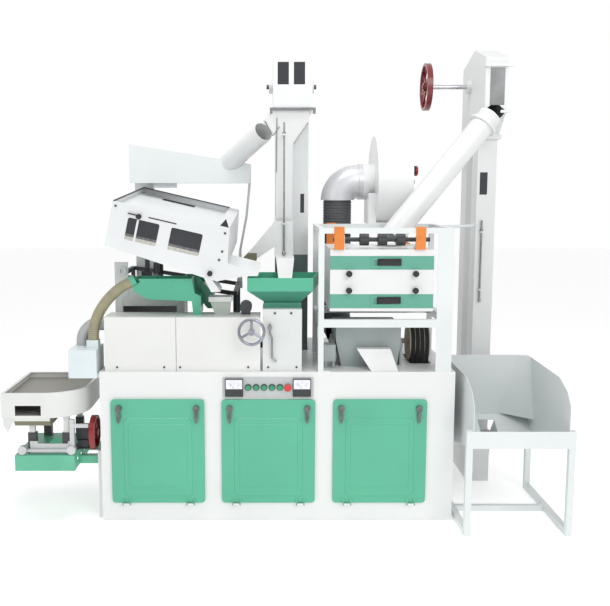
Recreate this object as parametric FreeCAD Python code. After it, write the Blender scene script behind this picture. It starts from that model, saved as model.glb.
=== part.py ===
import FreeCAD
import Part
import math
import os

# Combined rice mill: cleaner, husker, paddy separator, whitener and grader round one base cabinet.
# Millimetres.  +X to the right, +Y to the back, +Z up.  The origin is on the floor, at the centre of
# the cabinet's four anchor holes.

V = FreeCAD.Vector
X_AXIS = V(1, 0, 0)
Y_AXIS = V(0, 1, 0)
Z_AXIS = V(0, 0, 1)

# ---- shared ----
SHEET = 3.0                 # sheet steel
PANE_SEAT = 1.6             # how deep window panes are let in
GAP = 0.3                   # seating clearance between pieces of different bodies
FIT = 0.05                  # radial running clearance of a shaft in its bearing
SLOT = 4.0                  # open gap round a piece that moves

# ---- base cabinet ----
CAB_W = 1760.0
CAB_D = 1000.0
CAB_H = 764.0
TOE = 5.0                   # floor rail thickness, which lifts the sheets off the floor
RAIL = 60.0
ANCHOR_DX = 1600.0
ANCHOR_DY = 930.0
ANCHOR_R = 9.0
SKIRT_T = 25.0
SKIRT_H = 350.0
SKIRT_D = 860.0

# ---- doors, hinges and latches ----
DOOR_W = 465.0
DOOR_H = 530.0
DOOR_T = 12.0
DOOR_Z = 97.0
DOOR_X = (-594.0, -44.0, 510.0)
DOOR_LAP = 10.0             # how far a door covers the sheet round its opening
DOOR_SHEET = 2.0
DOOR_R = 18.0
EMBOSS_H = 3.0
RIM_SIDE = 62.0             # raised frame: distance from the door's sides, top and bottom
RIM_TOP = 93.0
RIM_FOOT = 36.0
PANEL_SIDE = 86.0           # raised centre panel, the same way
PANEL_TOP = 125.0
PANEL_FOOT = 85.0
HINGE_OUT = 20.0            # hinge axis in front of the cabinet's face
HINGE_DROP = 6.0            # hinge axis below the door
HINGE_X = 160.0             # hinges either side of the door's middle
HINGE_PIN = 2.5
EYE_R = 5.0
EYE_W = 30.0
LATCH_SIDE = 40.0
LATCH_TOP = 45.0
LATCH_SHAFT = 4.0
LATCH_HEAD = 16.0
LATCH_LEN = 72.0
TONGUE = 44.0

# ---- control plate ----
PLATE_W = 452.0
PLATE_H = 104.0
PLATE_X = -46.0
PLATE_Z = 687.0
METER = 89.0
METER_T = 14.0
METER_END = 14.0            # plate edge to meter
BUTTON_R = 13.0
BUTTON_PITCH = 39.3
BUTTON_X0 = -144.0          # first green button
BUTTON_COUNT = 5
BUTTON_OUT = 14.0
BUTTON_TRAVEL = 4.0
STOP_R = 18.0
STOP_X = 52.0
BEZEL = 4.0

# ---- whitener ----
COVER_X0 = -853.0
COVER_X1 = -84.0
COVER_SEAM = -500.0
COVER_Y = -485.0
COVER_H = 270.0
SEAM = 2.0
LEDGE_D = 185.0
COVER_SIDE_D = 95.0
HOOD_Y0 = -240.0
HOOD_Y1 = -60.0
HOOD_X0 = -838.0
HOOD_X1 = -480.0
HOOD_H = 426.0
HOOD_R = 150.0
HOOD_SLOT = (-798.0, -520.0, 1010.0, 1058.0)
CHEEK = (HOOD_X0, HOOD_X0 + 70, 1287.0)   # upright plate on the hood's left end
STAND_X0 = -72.0
STAND_X1 = 121.0
STAND_H = 310.0
STAND_D = 230.0
MILL_Y = -360.0
MILL_Z = 880.0
SCREEN_R = 62.0
SCREEN_T = 5.0
ROLL_R = 48.0
MILL_X0 = -800.0
MILL_X1 = -130.0
MILL_SHAFT = 20.0
MILL_PULLEY = 85.0
MILL_PULLEY_X = -20.0
END_PLATE = 12.0

# ---- handwheel and gate crank ----
WHEEL_X = -126.0
WHEEL_Z = 974.0
WHEEL_R = 68.0
WHEEL_Y = -562.0
WHEEL_RIM = 7.0
WHEEL_SHAFT = 8.0
CRANK_X = -36.0
CRANK_Z = 985.0
CRANK_LEN = 150.0
CRANK_R = 5.0

# ---- centre hopper and small fittings on the whitener ----
HOPPER_X0 = -148.0
HOPPER_X1 = 175.0
HOPPER_BACK_X1 = 219.0
HOPPER_Y0 = -480.0
HOPPER_Y1 = -170.0
HOPPER_TOP = 1228.0
HOPPER_BAND = 64.0
NECK_X0 = -60.0
NECK_X1 = 112.0
NECK_Y0 = -420.0
NECK_Y1 = -270.0
NECK_TOP = 1100.0
FUNNEL = (-343.0, -227.0, -400.0, -300.0)
FUNNEL_TOP = 1124.0
FUNNEL_BAND = 24.0
FEED_MOTOR = (-188.0, -127.0, -390.0, -310.0)
FEED_MOTOR_H = 66.0

# ---- brown rice tray ----
TRAY_X0 = -717.0
TRAY_X1 = -427.0
TRAY_Y0 = -400.0
TRAY_TOP = 1216.0
TRAY_FLOOR = 1113.0
TRAY_SPOUT = 45.0

# ---- gravity separator ----
SEP_MID = V(-512.0, -500.0, 1538.0)   # middle of the front wall's top edge
SEP_TILT = 13.1
SEP_RISE = 4.2
SEP_HALF = 288.0
SEP_LEFT_H = 221.0
SEP_D = 940.0
SEP_WALL = 4.0
SEP_WELL = 26.0                       # depth of the recessed lid
SEP_TROUGH_D = 300.0                  # discharge trough, from the front
SEP_WINDOWS = ((-200.0, -44.0), (14.0, 170.0))
SEP_WINDOW_Z = (-170.0, -60.0)
SEP_DECKS = (-178.0, -205.0)
ARM_X = (-700.0, -400.0)
ARM_TOP_Z = (1315.0, 1222.0)
ARM_LEN = 150.0
ARM_Y = (SEP_MID.y + 490.0, SEP_MID.y + SEP_D - 40.0)
ARM_W = 34.0
ARM_T = 10.0
ARM_PIN = 8.0
PIN_PLAY = 0.6                        # upper eyes have play for the arm's arc

# ---- separator stand and feed box ----
LEG = 22.0
STAND_LEG_X = (-862.0, -234.0)
STAND_LEG_Y = (ARM_Y[0] - 44.0, ARM_Y[1] + 40.0)
FEED_X0 = -830.0
FEED_X1 = -146.0
FEED_Y1 = STAND_LEG_Y[1] + 60.0
FEED_Y0 = FEED_Y1 - 250.0
FEED_TOP = (1912.0, 1801.0)
FEED_FLOOR = 1695.0
FEED_LEG_W = 108.0

# ---- bucket elevators ----
CEN_X = (-4.0, 176.0)
RIGHT_X = (1103.0, 1207.0)
LEG_Y = (100.0, 360.0)
LEG_D = 120.0
CEN_FLANGE_Z = 2090.0
RIGHT_FLANGE_Z = 1942.0
FLANGE = 18.0
FLANGE_T = 12.0
BOOT_H = 300.0
MOUTH_OUT = 60.0            # grain mouth of the right boot, in front of its leg
MOUTH_Z = (200.0, 300.0)
CEN_HEAD_TOP = 2372.0
CEN_RIDGE = 20.0             # the head's roof is nearly flat
CEN_HEAD_Y = (0.0, 496.0)
RIGHT_HEAD_Y = (-50.0, 474.0)
RIGHT_HEAD_FOOT = 2072.0
RIGHT_EAVES = 2345.0
RIGHT_RIDGE = 2418.0
HEAD_SHAFT_Y = 290.0
CEN_SHAFT_Z = 2230.0
RIGHT_SHAFT_Z = 2230.0
HEAD_SHAFT_R = 12.5
HEAD_DRUM_R = 125.0
RED_PULLEY_X = 847.0
RED_PULLEY_R = 130.0
RED_PULLEY_W = 30.0
BEARING_R = 36.0
ROD_R = 5.0
ROD_CENTRE = (40.0, -44.0)
ROD_CENTRE_Z = (1318.0, 2010.0)
ROD_RIGHT = (1133.0, 86.0)
ROD_RIGHT_Z = (1045.0, 1490.0)

# ---- cleaning sieve ----
FRAME_X0 = 201.0
FRAME_X1 = 858.0
FRAME_POST = 27.0
FRAME_RIGHT_POST = 78.0
FRAME_TOP = 1473.0
FRAME_BACK = 37.0
MID_Z0 = 986.0
MID_Z1 = 1025.0
SIEVE_X0 = 257.0
SIEVE_X1 = 763.0
SIEVE_Y0 = -490.0
SIEVE_Y1 = -20.0
SIEVE_Z0 = 1065.0
SIEVE_Z1 = 1368.0
DRAWER_Z = ((1080.0, 1150.0), (1270.0, 1337.0))
DRAWER_PULL_OUT = 380.0
SIEVE_WALL = 8.0
SIEVE_SWING = 8.0
KNOB_R = 15.0
SPRING_X = (299.0, 694.0)
SPRING_W = 48.0
SPRING_T = 5.0
ECC_Y = -405.0
ECC_Z = 1412.0
ECC_R = 11.0
ECC_WEIGHT_R = 30.0

# ---- husker ----
HUSK_X0 = 298.0
HUSK_X1 = 626.0
HUSK_Y0 = -380.0
HUSK_Y1 = -70.0
HUSK_TOP = 975.0
HUSK_SHOULDER = 900.0
HUSK_ROLL_R = 62.0
HUSK_ROLL_Z = 862.0
HUSK_ROLL_Y = -170.0
HUSK_NIP = 1.0
HUSK_SHAFT = 12.5
SIDE_BOX = (236.0, 294.0, -414.0, -340.0, 800.0, 884.0)
HUSK_PULLEY_X = 745.0
HUSK_PULLEY_R = 90.0
BELT_W = 20.0
BELT_T = 9.0
BELT_PITCH = 24.0
BELT_COUNT = 4

# ---- drive in the cabinet ----
LINE_Y = -120.0
LINE_Z = 300.0
LINE_R = 16.0
LINE_PULLEY_R = 70.0
MOTOR_X = (230.0, 560.0)
MOTOR_R = 110.0

# ---- fan ----
FAN_X0 = 539.0
FAN_X1 = 725.0
FAN_Y = 165.0
FAN_Z = 1700.0
FAN_R = 252.0
FAN_WALL = 4.0
FAN_MOUTH = 170.0
COLLAR = 60.0
KNOB_Y = 20.0            # star knob in front of and above the fan's shaft
KNOB_RISE = 60.0
KNOB_SPINDLE = 8.0
FAN_EYE_R = 92.0
DUCT_R = 92.0
ELBOW_X = 341.0
DUCT_BEND = 100.0
SPIGOT_R = 75.0
SPIGOT_LEN = 60.0
HOSE_R = 76.0
HOSE_FOOT = 990.0
HOSE_BEND = 95.0
IMPELLER_R = 200.0
FAN_SHAFT = 12.5

# ---- pipes ----
PIPE_R = 62.0
LEFT_PIPE_R = 56.0
PIPE_T = 4.0
PIPE_RIGHT = (V(1112, -33, 2023), V(594, -207, 1417))
PIPE_LEFT = (V(-72, 62, 1968), V(-300, 330, 1780))
SIEVE_INLET = (572.0, -214.0)

# ---- intake hopper ----
BOWL_X0 = 897.0
BOWL_X1 = 1416.0
BOWL_Y0 = -710.0
BOWL_Y1 = -12.0
BOWL_LIP = 520.0
BOWL_LIP_FOOT = 437.0
BOWL_BACK = 756.0
BOWL_T = 3.0
BOWL_SUMP = 160.0           # lowest line of the floor, in front of the back wall
BOWL_LOW = 330.0
BOWL_REAR = 420.0
STAND_TUBE = 30.0

# ---- outlet box and hoses ----
OUT_X0 = -1029.0
OUT_X1 = -890.0
OUT_Y0 = -510.0
OUT_Y1 = -318.0
OUT_Z0 = 734.0
OUT_Z1 = 874.0
HOSE_ROUTE = ((-917, -430, 915), (-917, -430, 960), (-905, -429, 1010), (-884, -426, 1058),
              (-852, -420, 1106), (-812, -412, 1149), (-770, -403, 1181), (-731, -396, 1200))
VENT_R = 34.0
VENT_Y = -356.0
VENT_X = -985.0
VENT_BEND = 90.0
VENT_NECK = 20.0
HOSE_D = 54.0

# ---- grader ----
PAN_X0 = -1350.0
PAN_X1 = -950.0
PAN_Y0 = -573.0
PAN_Y1 = -60.0
PAN_TOP = 672.0
PAN_H = 124.0
PAN_R = 205.0
PAN_T = 4.0
FOOT_X = (-1220.0, -1050.0)
FOOT_Y = (-493.0, -195.0)
PAN_WINDOW = (-1282.0, -1155.0, 561.0, 611.0)
GRADER_SWING = 8.0
BASE_X0 = -1298.0
BASE_X1 = -1003.0
BASE_Y0 = -550.0
BASE_Y1 = -150.0
BASE_Z0 = 275.0
BASE_Z1 = 354.0
CRANK_WHEEL_X = -930.0
CRANK_WHEEL_Y = -400.0
CRANK_WHEEL_Z = 430.0
CRANK_WHEEL_R = 88.0
CRANK_WHEEL_W = 28.0
CRANK_SHAFT = 10.0

# ---- derived places ----
LEFT = -CAB_W / 2
RIGHT = CAB_W / 2
FRONT = -CAB_D / 2
BACK = CAB_D / 2
DECK = CAB_H
DOOR_BACK = FRONT - GAP
DOOR_FACE = DOOR_BACK - DOOR_T
HINGE_Y = FRONT - HINGE_OUT
HINGE_Z = DOOR_Z - HINGE_DROP
COVER_TOP = DECK + COVER_H
HUSK_SLOW_Y = HUSK_ROLL_Y - 2 * HUSK_ROLL_R - HUSK_NIP


# ======================= shape helpers =======================

def block(x0, x1, y0, y1, z0, z1):
    return Part.makeBox(x1 - x0, y1 - y0, z1 - z0, V(x0, y0, z0))


def bar(start, end, radius):
    run = end - start
    return Part.makeCylinder(radius, run.Length, start, run)


def tube(start, end, outer, inner):
    return bar(start, end, outer).cut(bar(start, end, inner))


def bar_x(x0, x1, y, z, radius):
    return bar(V(x0, y, z), V(x1, y, z), radius)


def bar_y(y0, y1, x, z, radius):
    return bar(V(x, y0, z), V(x, y1, z), radius)


def bar_z(z0, z1, x, y, radius):
    return bar(V(x, y, z0), V(x, y, z1), radius)


def polygon(points):
    return Part.Face(Part.makePolygon(points + [points[0]]))


def prism_xz(points, y0, y1):
    return polygon([V(x, y0, z) for x, z in points]).extrude(V(0, y1 - y0, 0))


def prism_yz(points, x0, x1):
    return polygon([V(x0, y, z) for y, z in points]).extrude(V(x1 - x0, 0, 0))


def prism_xy(points, z0, z1):
    return polygon([V(x, y, z0) for x, y in points]).extrude(V(0, 0, z1 - z0))


def round_wire_xz(x0, x1, z0, z1, radius, y):
    face = Part.Face(Part.makePolygon(
        [V(x0, y, z0), V(x1, y, z0), V(x1, y, z1), V(x0, y, z1), V(x0, y, z0)]))
    solid = face.extrude(Y_AXIS)
    upright = [e for e in solid.Edges
               if abs(e.Vertexes[0].Point.y - e.Vertexes[1].Point.y) > 0.5]
    rounded = solid.makeFillet(radius, upright)
    return [w for f in rounded.Faces if abs(f.CenterOfMass.y - y) < 1e-6 for w in f.Wires][0]


def round_slab_xz(x0, x1, z0, z1, radius, y0, y1):
    return Part.Face(round_wire_xz(x0, x1, z0, z1, radius, y0)).extrude(V(0, y1 - y0, 0))


def union(*solids):
    first = solids[0]
    return first.multiFuse(list(solids[1:])).removeSplitter() if len(solids) > 1 else first


def minus(solid, *tools):
    for tool in tools:
        solid = solid.cut(tool)
    return solid


def group(*solids):
    return Part.makeCompound(list(solids))


def tray_between(low, high, wall):
    """Open-topped tapered shell between two rectangles (x0, x1, y0, y1, z)."""
    def ring(r, inset, lift):
        x0, x1, y0, y1, z = r
        return Part.makePolygon([V(x0 + inset, y0 + inset, z + lift), V(x1 - inset, y0 + inset, z + lift),
                                 V(x1 - inset, y1 - inset, z + lift), V(x0 + inset, y1 - inset, z + lift),
                                 V(x0 + inset, y0 + inset, z + lift)])
    outer = Part.makeLoft([ring(low, 0, 0), ring(high, 0, 0)], True, True)
    inner = Part.makeLoft([ring(low, wall, 0), ring(high, wall, 0)], True, True)
    return outer, inner


def hollow_box(x0, x1, y0, y1, z0, z1, wall):
    return block(x0, x1, y0, y1, z0, z1).cut(
        block(x0 + wall, x1 - wall, y0 + wall, y1 - wall, z0 + wall, z1 - wall))


def open_tube_z(x0, x1, y0, y1, z0, z1, wall):
    return block(x0, x1, y0, y1, z0, z1).cut(
        block(x0 + wall, x1 - wall, y0 + wall, y1 - wall, z0 - 1, z1 + 1))


# ======================= base cabinet =======================

MILL_BELT_CUT = (-62.0, 22.0, -470.0, -40.0)
HUSK_BELT_CUT = (690.0, 800.0, -290.0, -30.0)
HUSK_DROP_CUT = (360.0, 590.0, -330.0, -120.0)
LOUVRE = (300.0, 12.0, 60.0)          # length, height, pitch


def cabinet_shell():
    deck = block(LEFT, RIGHT, FRONT + SHEET, BACK, DECK - SHEET, DECK)
    elevator_cut = (CEN_X[0] - SLOT, CEN_X[1] + SLOT, LEG_Y[0] - SLOT, LEG_Y[1] + LEG_D + SLOT)
    for x0, x1, y0, y1 in (MILL_BELT_CUT, HUSK_BELT_CUT, HUSK_DROP_CUT, elevator_cut):
        deck = deck.cut(block(x0, x1, y0, y1, DECK - 2 * SHEET, DECK + 1))
    left = block(LEFT, LEFT + SHEET, FRONT + SHEET, BACK - SHEET, TOE, DECK - SHEET)
    right = block(RIGHT - SHEET, RIGHT, FRONT + SHEET, BACK - SHEET, TOE, DECK - SHEET)
    back = block(LEFT, RIGHT, BACK - SHEET, BACK, TOE, DECK - SHEET)
    length, height, pitch = LOUVRE
    for side in (-1, 1):
        for row in range(4):
            z = 420 + row * pitch
            x = side * 480
            back = back.cut(block(x - length / 2, x + length / 2, BACK - 2 * SHEET, BACK + 1, z,
                                  z + height))
    shell = union(deck, left, right, back)
    skirt = minus(block(LEFT - SKIRT_T, LEFT, FRONT + 40, FRONT + 40 + SKIRT_D, 0, SKIRT_H),
                  block(LEFT - SKIRT_T + SHEET, LEFT + 1, FRONT + 40 + SHEET,
                        FRONT + 40 + SKIRT_D - SHEET, -1, SKIRT_H - SHEET))
    return group(shell, skirt, *[floor_rail(side) for side in (-1, 1)])


def floor_rail(side):
    outer = side * (BACK - SHEET)
    inner = outer - side * RAIL
    upright = outer - side * TOE
    x0, x1 = LEFT + SHEET, RIGHT - SHEET
    rail = union(block(x0, x1, min(outer, inner), max(outer, inner), 0, TOE),
                 block(x0, x1, min(outer, upright), max(outer, upright), TOE, RAIL))
    for x in (-ANCHOR_DX / 2, ANCHOR_DX / 2):
        rail = rail.cut(bar_z(-1, TOE + 1, x, side * ANCHOR_DY / 2, ANCHOR_R))
    return rail


def cabinet_front():
    sheet = block(LEFT, RIGHT, FRONT, FRONT + SHEET, TOE, DECK)
    for x in DOOR_X:
        half = DOOR_W / 2 - DOOR_LAP
        sheet = sheet.cut(block(x - half, x + half, FRONT - 1, FRONT + SHEET + 1,
                                DOOR_Z + DOOR_LAP, DOOR_Z + DOOR_H - DOOR_LAP))
    last = BUTTON_X0 - BUTTON_PITCH / 2
    sheet = sheet.cut(block(last, STOP_X + STOP_R + BEZEL, FRONT - 1, FRONT + SHEET + 1,
                            PLATE_Z - 30, PLATE_Z + 30))
    eyes = []
    for x in DOOR_X:
        for side in (-1, 1):
            eyes.append(hinge_eye(x + side * HINGE_X))
    return union(sheet, *eyes)


def hinge_eye(x):
    half = EYE_W / 2
    eye = bar_x(x - half, x + half, HINGE_Y, HINGE_Z, EYE_R)
    arm = block(x - half, x + half, HINGE_Y, FRONT, HINGE_Z - EYE_R, HINGE_Z - EYE_R + SHEET)
    pad = block(x - half, x + half, FRONT - SHEET, FRONT, HINGE_Z - 4 * EYE_R, HINGE_Z - EYE_R + SHEET)
    hole = bar_x(x - half - 1, x + half + 1, HINGE_Y, HINGE_Z, HINGE_PIN + FIT)
    return union(eye, arm, pad).cut(hole)


# ======================= doors and latches =======================

def emboss(x, side, top, foot, radius, level, height):
    x0, x1 = x - DOOR_W / 2 + side, x + DOOR_W / 2 - side
    z0, z1 = DOOR_Z + foot, DOOR_Z + DOOR_H - top
    wide = round_wire_xz(x0, x1, z0, z1, radius, level)
    narrow = round_wire_xz(x0 + height, x1 - height, z0 + height, z1 - height, radius - height,
                           level - height)
    return Part.makeLoft([wide, narrow], True, True)


def door(x):
    x0, x1 = x - DOOR_W / 2, x + DOOR_W / 2
    z0, z1 = DOOR_Z, DOOR_Z + DOOR_H
    pan = round_slab_xz(x0, x1, z0, z1, DOOR_R, DOOR_FACE, DOOR_BACK)
    pocket = round_slab_xz(x0 + DOOR_SHEET, x1 - DOOR_SHEET, z0 + DOOR_SHEET, z1 - DOOR_SHEET,
                           DOOR_R - DOOR_SHEET, DOOR_FACE + DOOR_SHEET, DOOR_BACK + 1)
    frame = emboss(x, RIM_SIDE, RIM_TOP, RIM_FOOT, 25.0, DOOR_FACE, EMBOSS_H)
    panel = emboss(x, PANEL_SIDE, PANEL_TOP, PANEL_FOOT, 8.0, DOOR_FACE - EMBOSS_H, EMBOSS_H - 1)
    leaf = union(pan, frame, panel).cut(pocket)
    for side in (-1, 1):
        leaf = leaf.cut(bar_y(DOOR_FACE - 1, DOOR_BACK + 1, x + side * (DOOR_W / 2 - LATCH_SIDE),
                              z1 - LATCH_TOP, LATCH_SHAFT + FIT))
        leaf = union(leaf, hinge_pin(x + side * HINGE_X))
    return leaf


def hinge_pin(x):
    half = EYE_W / 2 + GAP
    ears = []
    for side in (-1, 1):
        inner = x + side * half
        outer = inner + side * 6
        foot = prism_yz([(HINGE_Y - EYE_R, HINGE_Z - EYE_R + 1), (HINGE_Y + EYE_R, HINGE_Z - EYE_R + 1),
                         (DOOR_FACE + DOOR_SHEET, DOOR_Z + 2), (DOOR_FACE + DOOR_SHEET, DOOR_Z + 26),
                         (DOOR_FACE - 1, DOOR_Z + 26), (HINGE_Y - EYE_R, HINGE_Z + EYE_R)],
                        min(inner, outer), max(inner, outer))
        ears.append(foot)
    pin = bar_x(x - half - 6, x + half + 6, HINGE_Y, HINGE_Z, HINGE_PIN)
    return union(pin, *ears)


def latch(x, side):
    z = DOOR_Z + DOOR_H - LATCH_TOP
    ax = x + side * (DOOR_W / 2 - LATCH_SIDE)
    face = DOOR_FACE - GAP
    head = bar_y(face - 14, face, ax, z, LATCH_HEAD)
    grip = prism_xz([(ax - 7, z - LATCH_HEAD + 4), (ax + 7, z - LATCH_HEAD + 4), (ax + 10, z - 40),
                     (ax + 4, z - LATCH_LEN), (ax - 4, z - LATCH_LEN), (ax - 10, z - 40)],
                    face - 14, face - 5)
    shaft = bar_y(face - 6, FRONT + SHEET + 5, ax, z, LATCH_SHAFT)
    tongue = block(ax - 7, ax + 7, FRONT + SHEET + 1.5, FRONT + SHEET + 5, z - TONGUE, z + 7)
    return union(head, grip, shaft, tongue)


# ======================= control plate =======================

def button_places():
    return [BUTTON_X0 + i * BUTTON_PITCH for i in range(BUTTON_COUNT)]


def control_panel():
    x0, x1 = PLATE_X - PLATE_W / 2, PLATE_X + PLATE_W / 2
    z0, z1 = PLATE_Z - PLATE_H / 2, PLATE_Z + PLATE_H / 2
    plate = round_slab_xz(x0, x1, z0, z1, 8.0, FRONT - 2, FRONT)
    z = PLATE_Z
    for x in (x0 + METER_END, x1 - METER_END - METER):
        plate = union(plate, block(x, x + METER, FRONT - 2 - METER_T, FRONT - 2, z - METER / 2,
                                   z + METER / 2))
    for x in button_places() + [STOP_X]:
        radius = STOP_R if x == STOP_X else BUTTON_R
        neck = BUTTON_R
        plate = union(plate, bar_y(FRONT - 2 - BEZEL, FRONT, x, z, neck + BEZEL))
        plate = plate.cut(bar_y(FRONT - 20, FRONT + 1, x, z, neck + GAP))
    return plate


def start_button(x):
    return union(bar_y(FRONT - 2 - BUTTON_OUT, FRONT + 4, x, PLATE_Z, BUTTON_R),
                 bar_y(FRONT + 4, FRONT + 14, x, PLATE_Z, BUTTON_R - 6))


def stop_button():
    face = FRONT - 2 - BUTTON_OUT
    neck = bar_y(face, FRONT + 4, STOP_X, PLATE_Z, BUTTON_R)
    cap = bar_y(face - 8, face, STOP_X, PLATE_Z, STOP_R)
    dome = cap.makeFillet(5.0, [e for e in cap.Edges if abs(e.CenterOfMass.y - (face - 8)) < 0.5
                                and e.Length > 50])
    return union(neck, dome)


# ======================= whitener =======================

def mill_covers():
    left = block(COVER_X0, COVER_SEAM - SEAM / 2, COVER_Y, COVER_Y + SHEET, DECK, COVER_TOP)
    right = block(COVER_SEAM + SEAM / 2, COVER_X1, COVER_Y, COVER_Y + SHEET, DECK, COVER_TOP)
    ledge = COVER_Y + LEDGE_D
    left = union(left, block(COVER_X0, COVER_SEAM - SEAM / 2, COVER_Y, ledge, COVER_TOP - SHEET, COVER_TOP),
                 block(COVER_X0, COVER_X0 + SHEET, COVER_Y, ledge, DECK, COVER_TOP))
    left = left.cut(bar_x(COVER_X0 - 1, COVER_X0 + SHEET + 1, VENT_Y, OUT_Z1 + VENT_NECK + VENT_BEND,
                          VENT_R - SHEET))
    right = union(right, block(COVER_SEAM + SEAM / 2, COVER_X1, COVER_Y, ledge, COVER_TOP - SHEET,
                               COVER_TOP),
                  block(COVER_X1 - SHEET, COVER_X1, COVER_Y, COVER_Y + COVER_SIDE_D, DECK, COVER_TOP))
    right = right.cut(bar_y(COVER_Y - 1, COVER_Y + 10, WHEEL_X, WHEEL_Z, WHEEL_SHAFT + FIT))
    return group(left, right)


def round_corner_xz(x0, x1, z0, z1, radius, y0, y1):
    """Upright slab with only its top left corner rounded."""
    slab = block(x0, x1, y0, y1, z0, z1)
    corner = [e for e in slab.Edges if abs(e.CenterOfMass.x - x0) < 0.1 and abs(e.CenterOfMass.z - z1) < 0.1]
    return slab.makeFillet(radius, corner)


def mill_case():
    top = DECK + HOOD_H
    hood = round_corner_xz(HOOD_X0, HOOD_X1, DECK, top, HOOD_R, HOOD_Y0, HOOD_Y1)
    hollow = round_corner_xz(HOOD_X0 + SHEET, HOOD_X1 - SHEET, DECK + SHEET, top - SHEET, HOOD_R - SHEET,
                             HOOD_Y0 + SHEET, HOOD_Y1 - SHEET)
    sx0, sx1, sz0, sz1 = HOOD_SLOT
    hood = minus(hood, hollow, block(sx0, sx1, HOOD_Y0 - 1, HOOD_Y0 + 2 * SHEET, sz0, sz1))
    screen = tube(V(MILL_X0, MILL_Y, MILL_Z), V(MILL_X1, MILL_Y, MILL_Z), SCREEN_R, SCREEN_R - SCREEN_T)
    windows = [block(x, x + 60, MILL_Y - SCREEN_R, MILL_Y + SCREEN_R, MILL_Z - SCREEN_R + 14,
                     MILL_Z + SCREEN_R - 14)
               for x in range(int(MILL_X0) + 60, int(MILL_X1) - 90, 120)]
    screen = minus(screen, *windows)
    ends = []
    for x in (MILL_X0 - END_PLATE, MILL_X1):
        plate = prism_yz([(MILL_Y - 90, DECK), (HOOD_Y0, DECK), (HOOD_Y0, MILL_Z + 60),
                          (MILL_Y + 50, MILL_Z + 90),
                          (MILL_Y - 50, MILL_Z + 90), (MILL_Y - 90, MILL_Z + 40)], x, x + END_PLATE)
        ends.append(plate.cut(bar_x(x - 1, x + END_PLATE + 1, MILL_Y, MILL_Z, MILL_SHAFT + FIT)))
    x0, x1, z1 = CHEEK
    waist = HOOD_SLOT[3] + 30
    cheek = prism_xz([(x0, DECK), (HOOD_SLOT[0] - 4, DECK), (HOOD_SLOT[0] - 4, waist), (x1, waist + 30), (x1, z1),
                      (x0, z1)], HOOD_Y0 - SHEET, HOOD_Y0 + 1)
    dial = tube(V(x1 - 30, HOOD_Y0 - SHEET - 8, z1 - 46), V(x1 - 30, HOOD_Y0 - SHEET, z1 - 46), 22, 12)
    return group(union(hood, screen, cheek, dial, *ends), mill_stand(), small_funnel())


def mill_stand():
    """Pedestal under the centre hopper: open at the back, over the mill's pulley."""
    y1 = COVER_Y + STAND_D
    top = DECK + STAND_H
    stand = minus(block(STAND_X0, STAND_X1, COVER_Y, y1, DECK, top),
                  block(STAND_X0 + SHEET, STAND_X1 - SHEET, COVER_Y + SHEET, y1 + 1, DECK - 1, top - SHEET),
                  bar_x(STAND_X0 - 1, STAND_X0 + SHEET + 1, MILL_Y, MILL_Z, MILL_SHAFT + 4),
                  block(NECK_X0 + 20, NECK_X1 - 20, NECK_Y0 + 20, y1 - 30, top - 2 * SHEET, top + 1))
    return stand.cut(bar_y(COVER_Y - 1, COVER_Y + 6, CRANK_X, CRANK_Z, CRANK_R + FIT))


def small_funnel():
    x0, x1, y0, y1 = FUNNEL
    waist = FUNNEL_TOP - FUNNEL_BAND
    outer, inner = tray_between((x0 + 30, x1 - 12, y0 + 20, y1 - 20, COVER_TOP),
                                (x0 + 8, x1 - 8, y0 + 8, y1 - 8, waist), SHEET)
    rim = block(x0, x1, y0, y1, waist, FUNNEL_TOP)
    bore = block(x0 + 8 + SHEET, x1 - 8 - SHEET, y0 + 8 + SHEET, y1 - 8 - SHEET, waist - 0.1,
                 FUNNEL_TOP + 1)
    return union(outer, rim).cut(union(inner, bore))


def milling_roller():
    y, z = MILL_Y, MILL_Z
    shaft = bar_x(MILL_X0 - 30, MILL_PULLEY_X + 40, y, z, MILL_SHAFT)
    roller = bar_x(MILL_X0 + 20, MILL_X1 - 20, y, z, ROLL_R)
    ribs = [block(MILL_X0 + 20, MILL_X1 - 20, y - 5, y + 5, z + sign * ROLL_R - 4, z + sign * ROLL_R + 4)
            for sign in (-1, 1)]
    return union(shaft, roller, *ribs, grooved_pulley(MILL_PULLEY_X, y, z, MILL_PULLEY, 2))


def grooved_pulley(x, y, z, radius, grooves):
    """V-belt pulley with its belts' inner faces at the given radius."""
    width = grooves * BELT_PITCH + 8
    body = bar_x(x - width / 2, x + width / 2, y, z, radius + BELT_T)
    for i in range(grooves):
        mid = x + (i - (grooves - 1) / 2) * BELT_PITCH
        ring = tube(V(mid - BELT_W / 2 - 1, y, z), V(mid + BELT_W / 2 + 1, y, z), radius + BELT_T + 5,
                    radius)
        body = body.cut(ring)
    return body


# ======================= handwheel and gate crank =======================

def handwheel():
    centre = V(WHEEL_X, WHEEL_Y, WHEEL_Z)
    rim = Part.makeTorus(WHEEL_R - WHEEL_RIM, WHEEL_RIM, centre, Y_AXIS)
    hub = bar_y(WHEEL_Y - 12, WHEEL_Y + 14, WHEEL_X, WHEEL_Z, 16)
    shaft = bar_y(WHEEL_Y, COVER_Y + 40, WHEEL_X, WHEEL_Z, WHEEL_SHAFT)
    spokes = []
    for k in range(3):
        turn = math.radians(90 + 120 * k)
        tip = centre + V(math.cos(turn), 0, math.sin(turn)) * (WHEEL_R - WHEEL_RIM)
        spokes.append(bar(centre, tip, 6))
    return union(rim, hub, shaft, *spokes)


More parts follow.
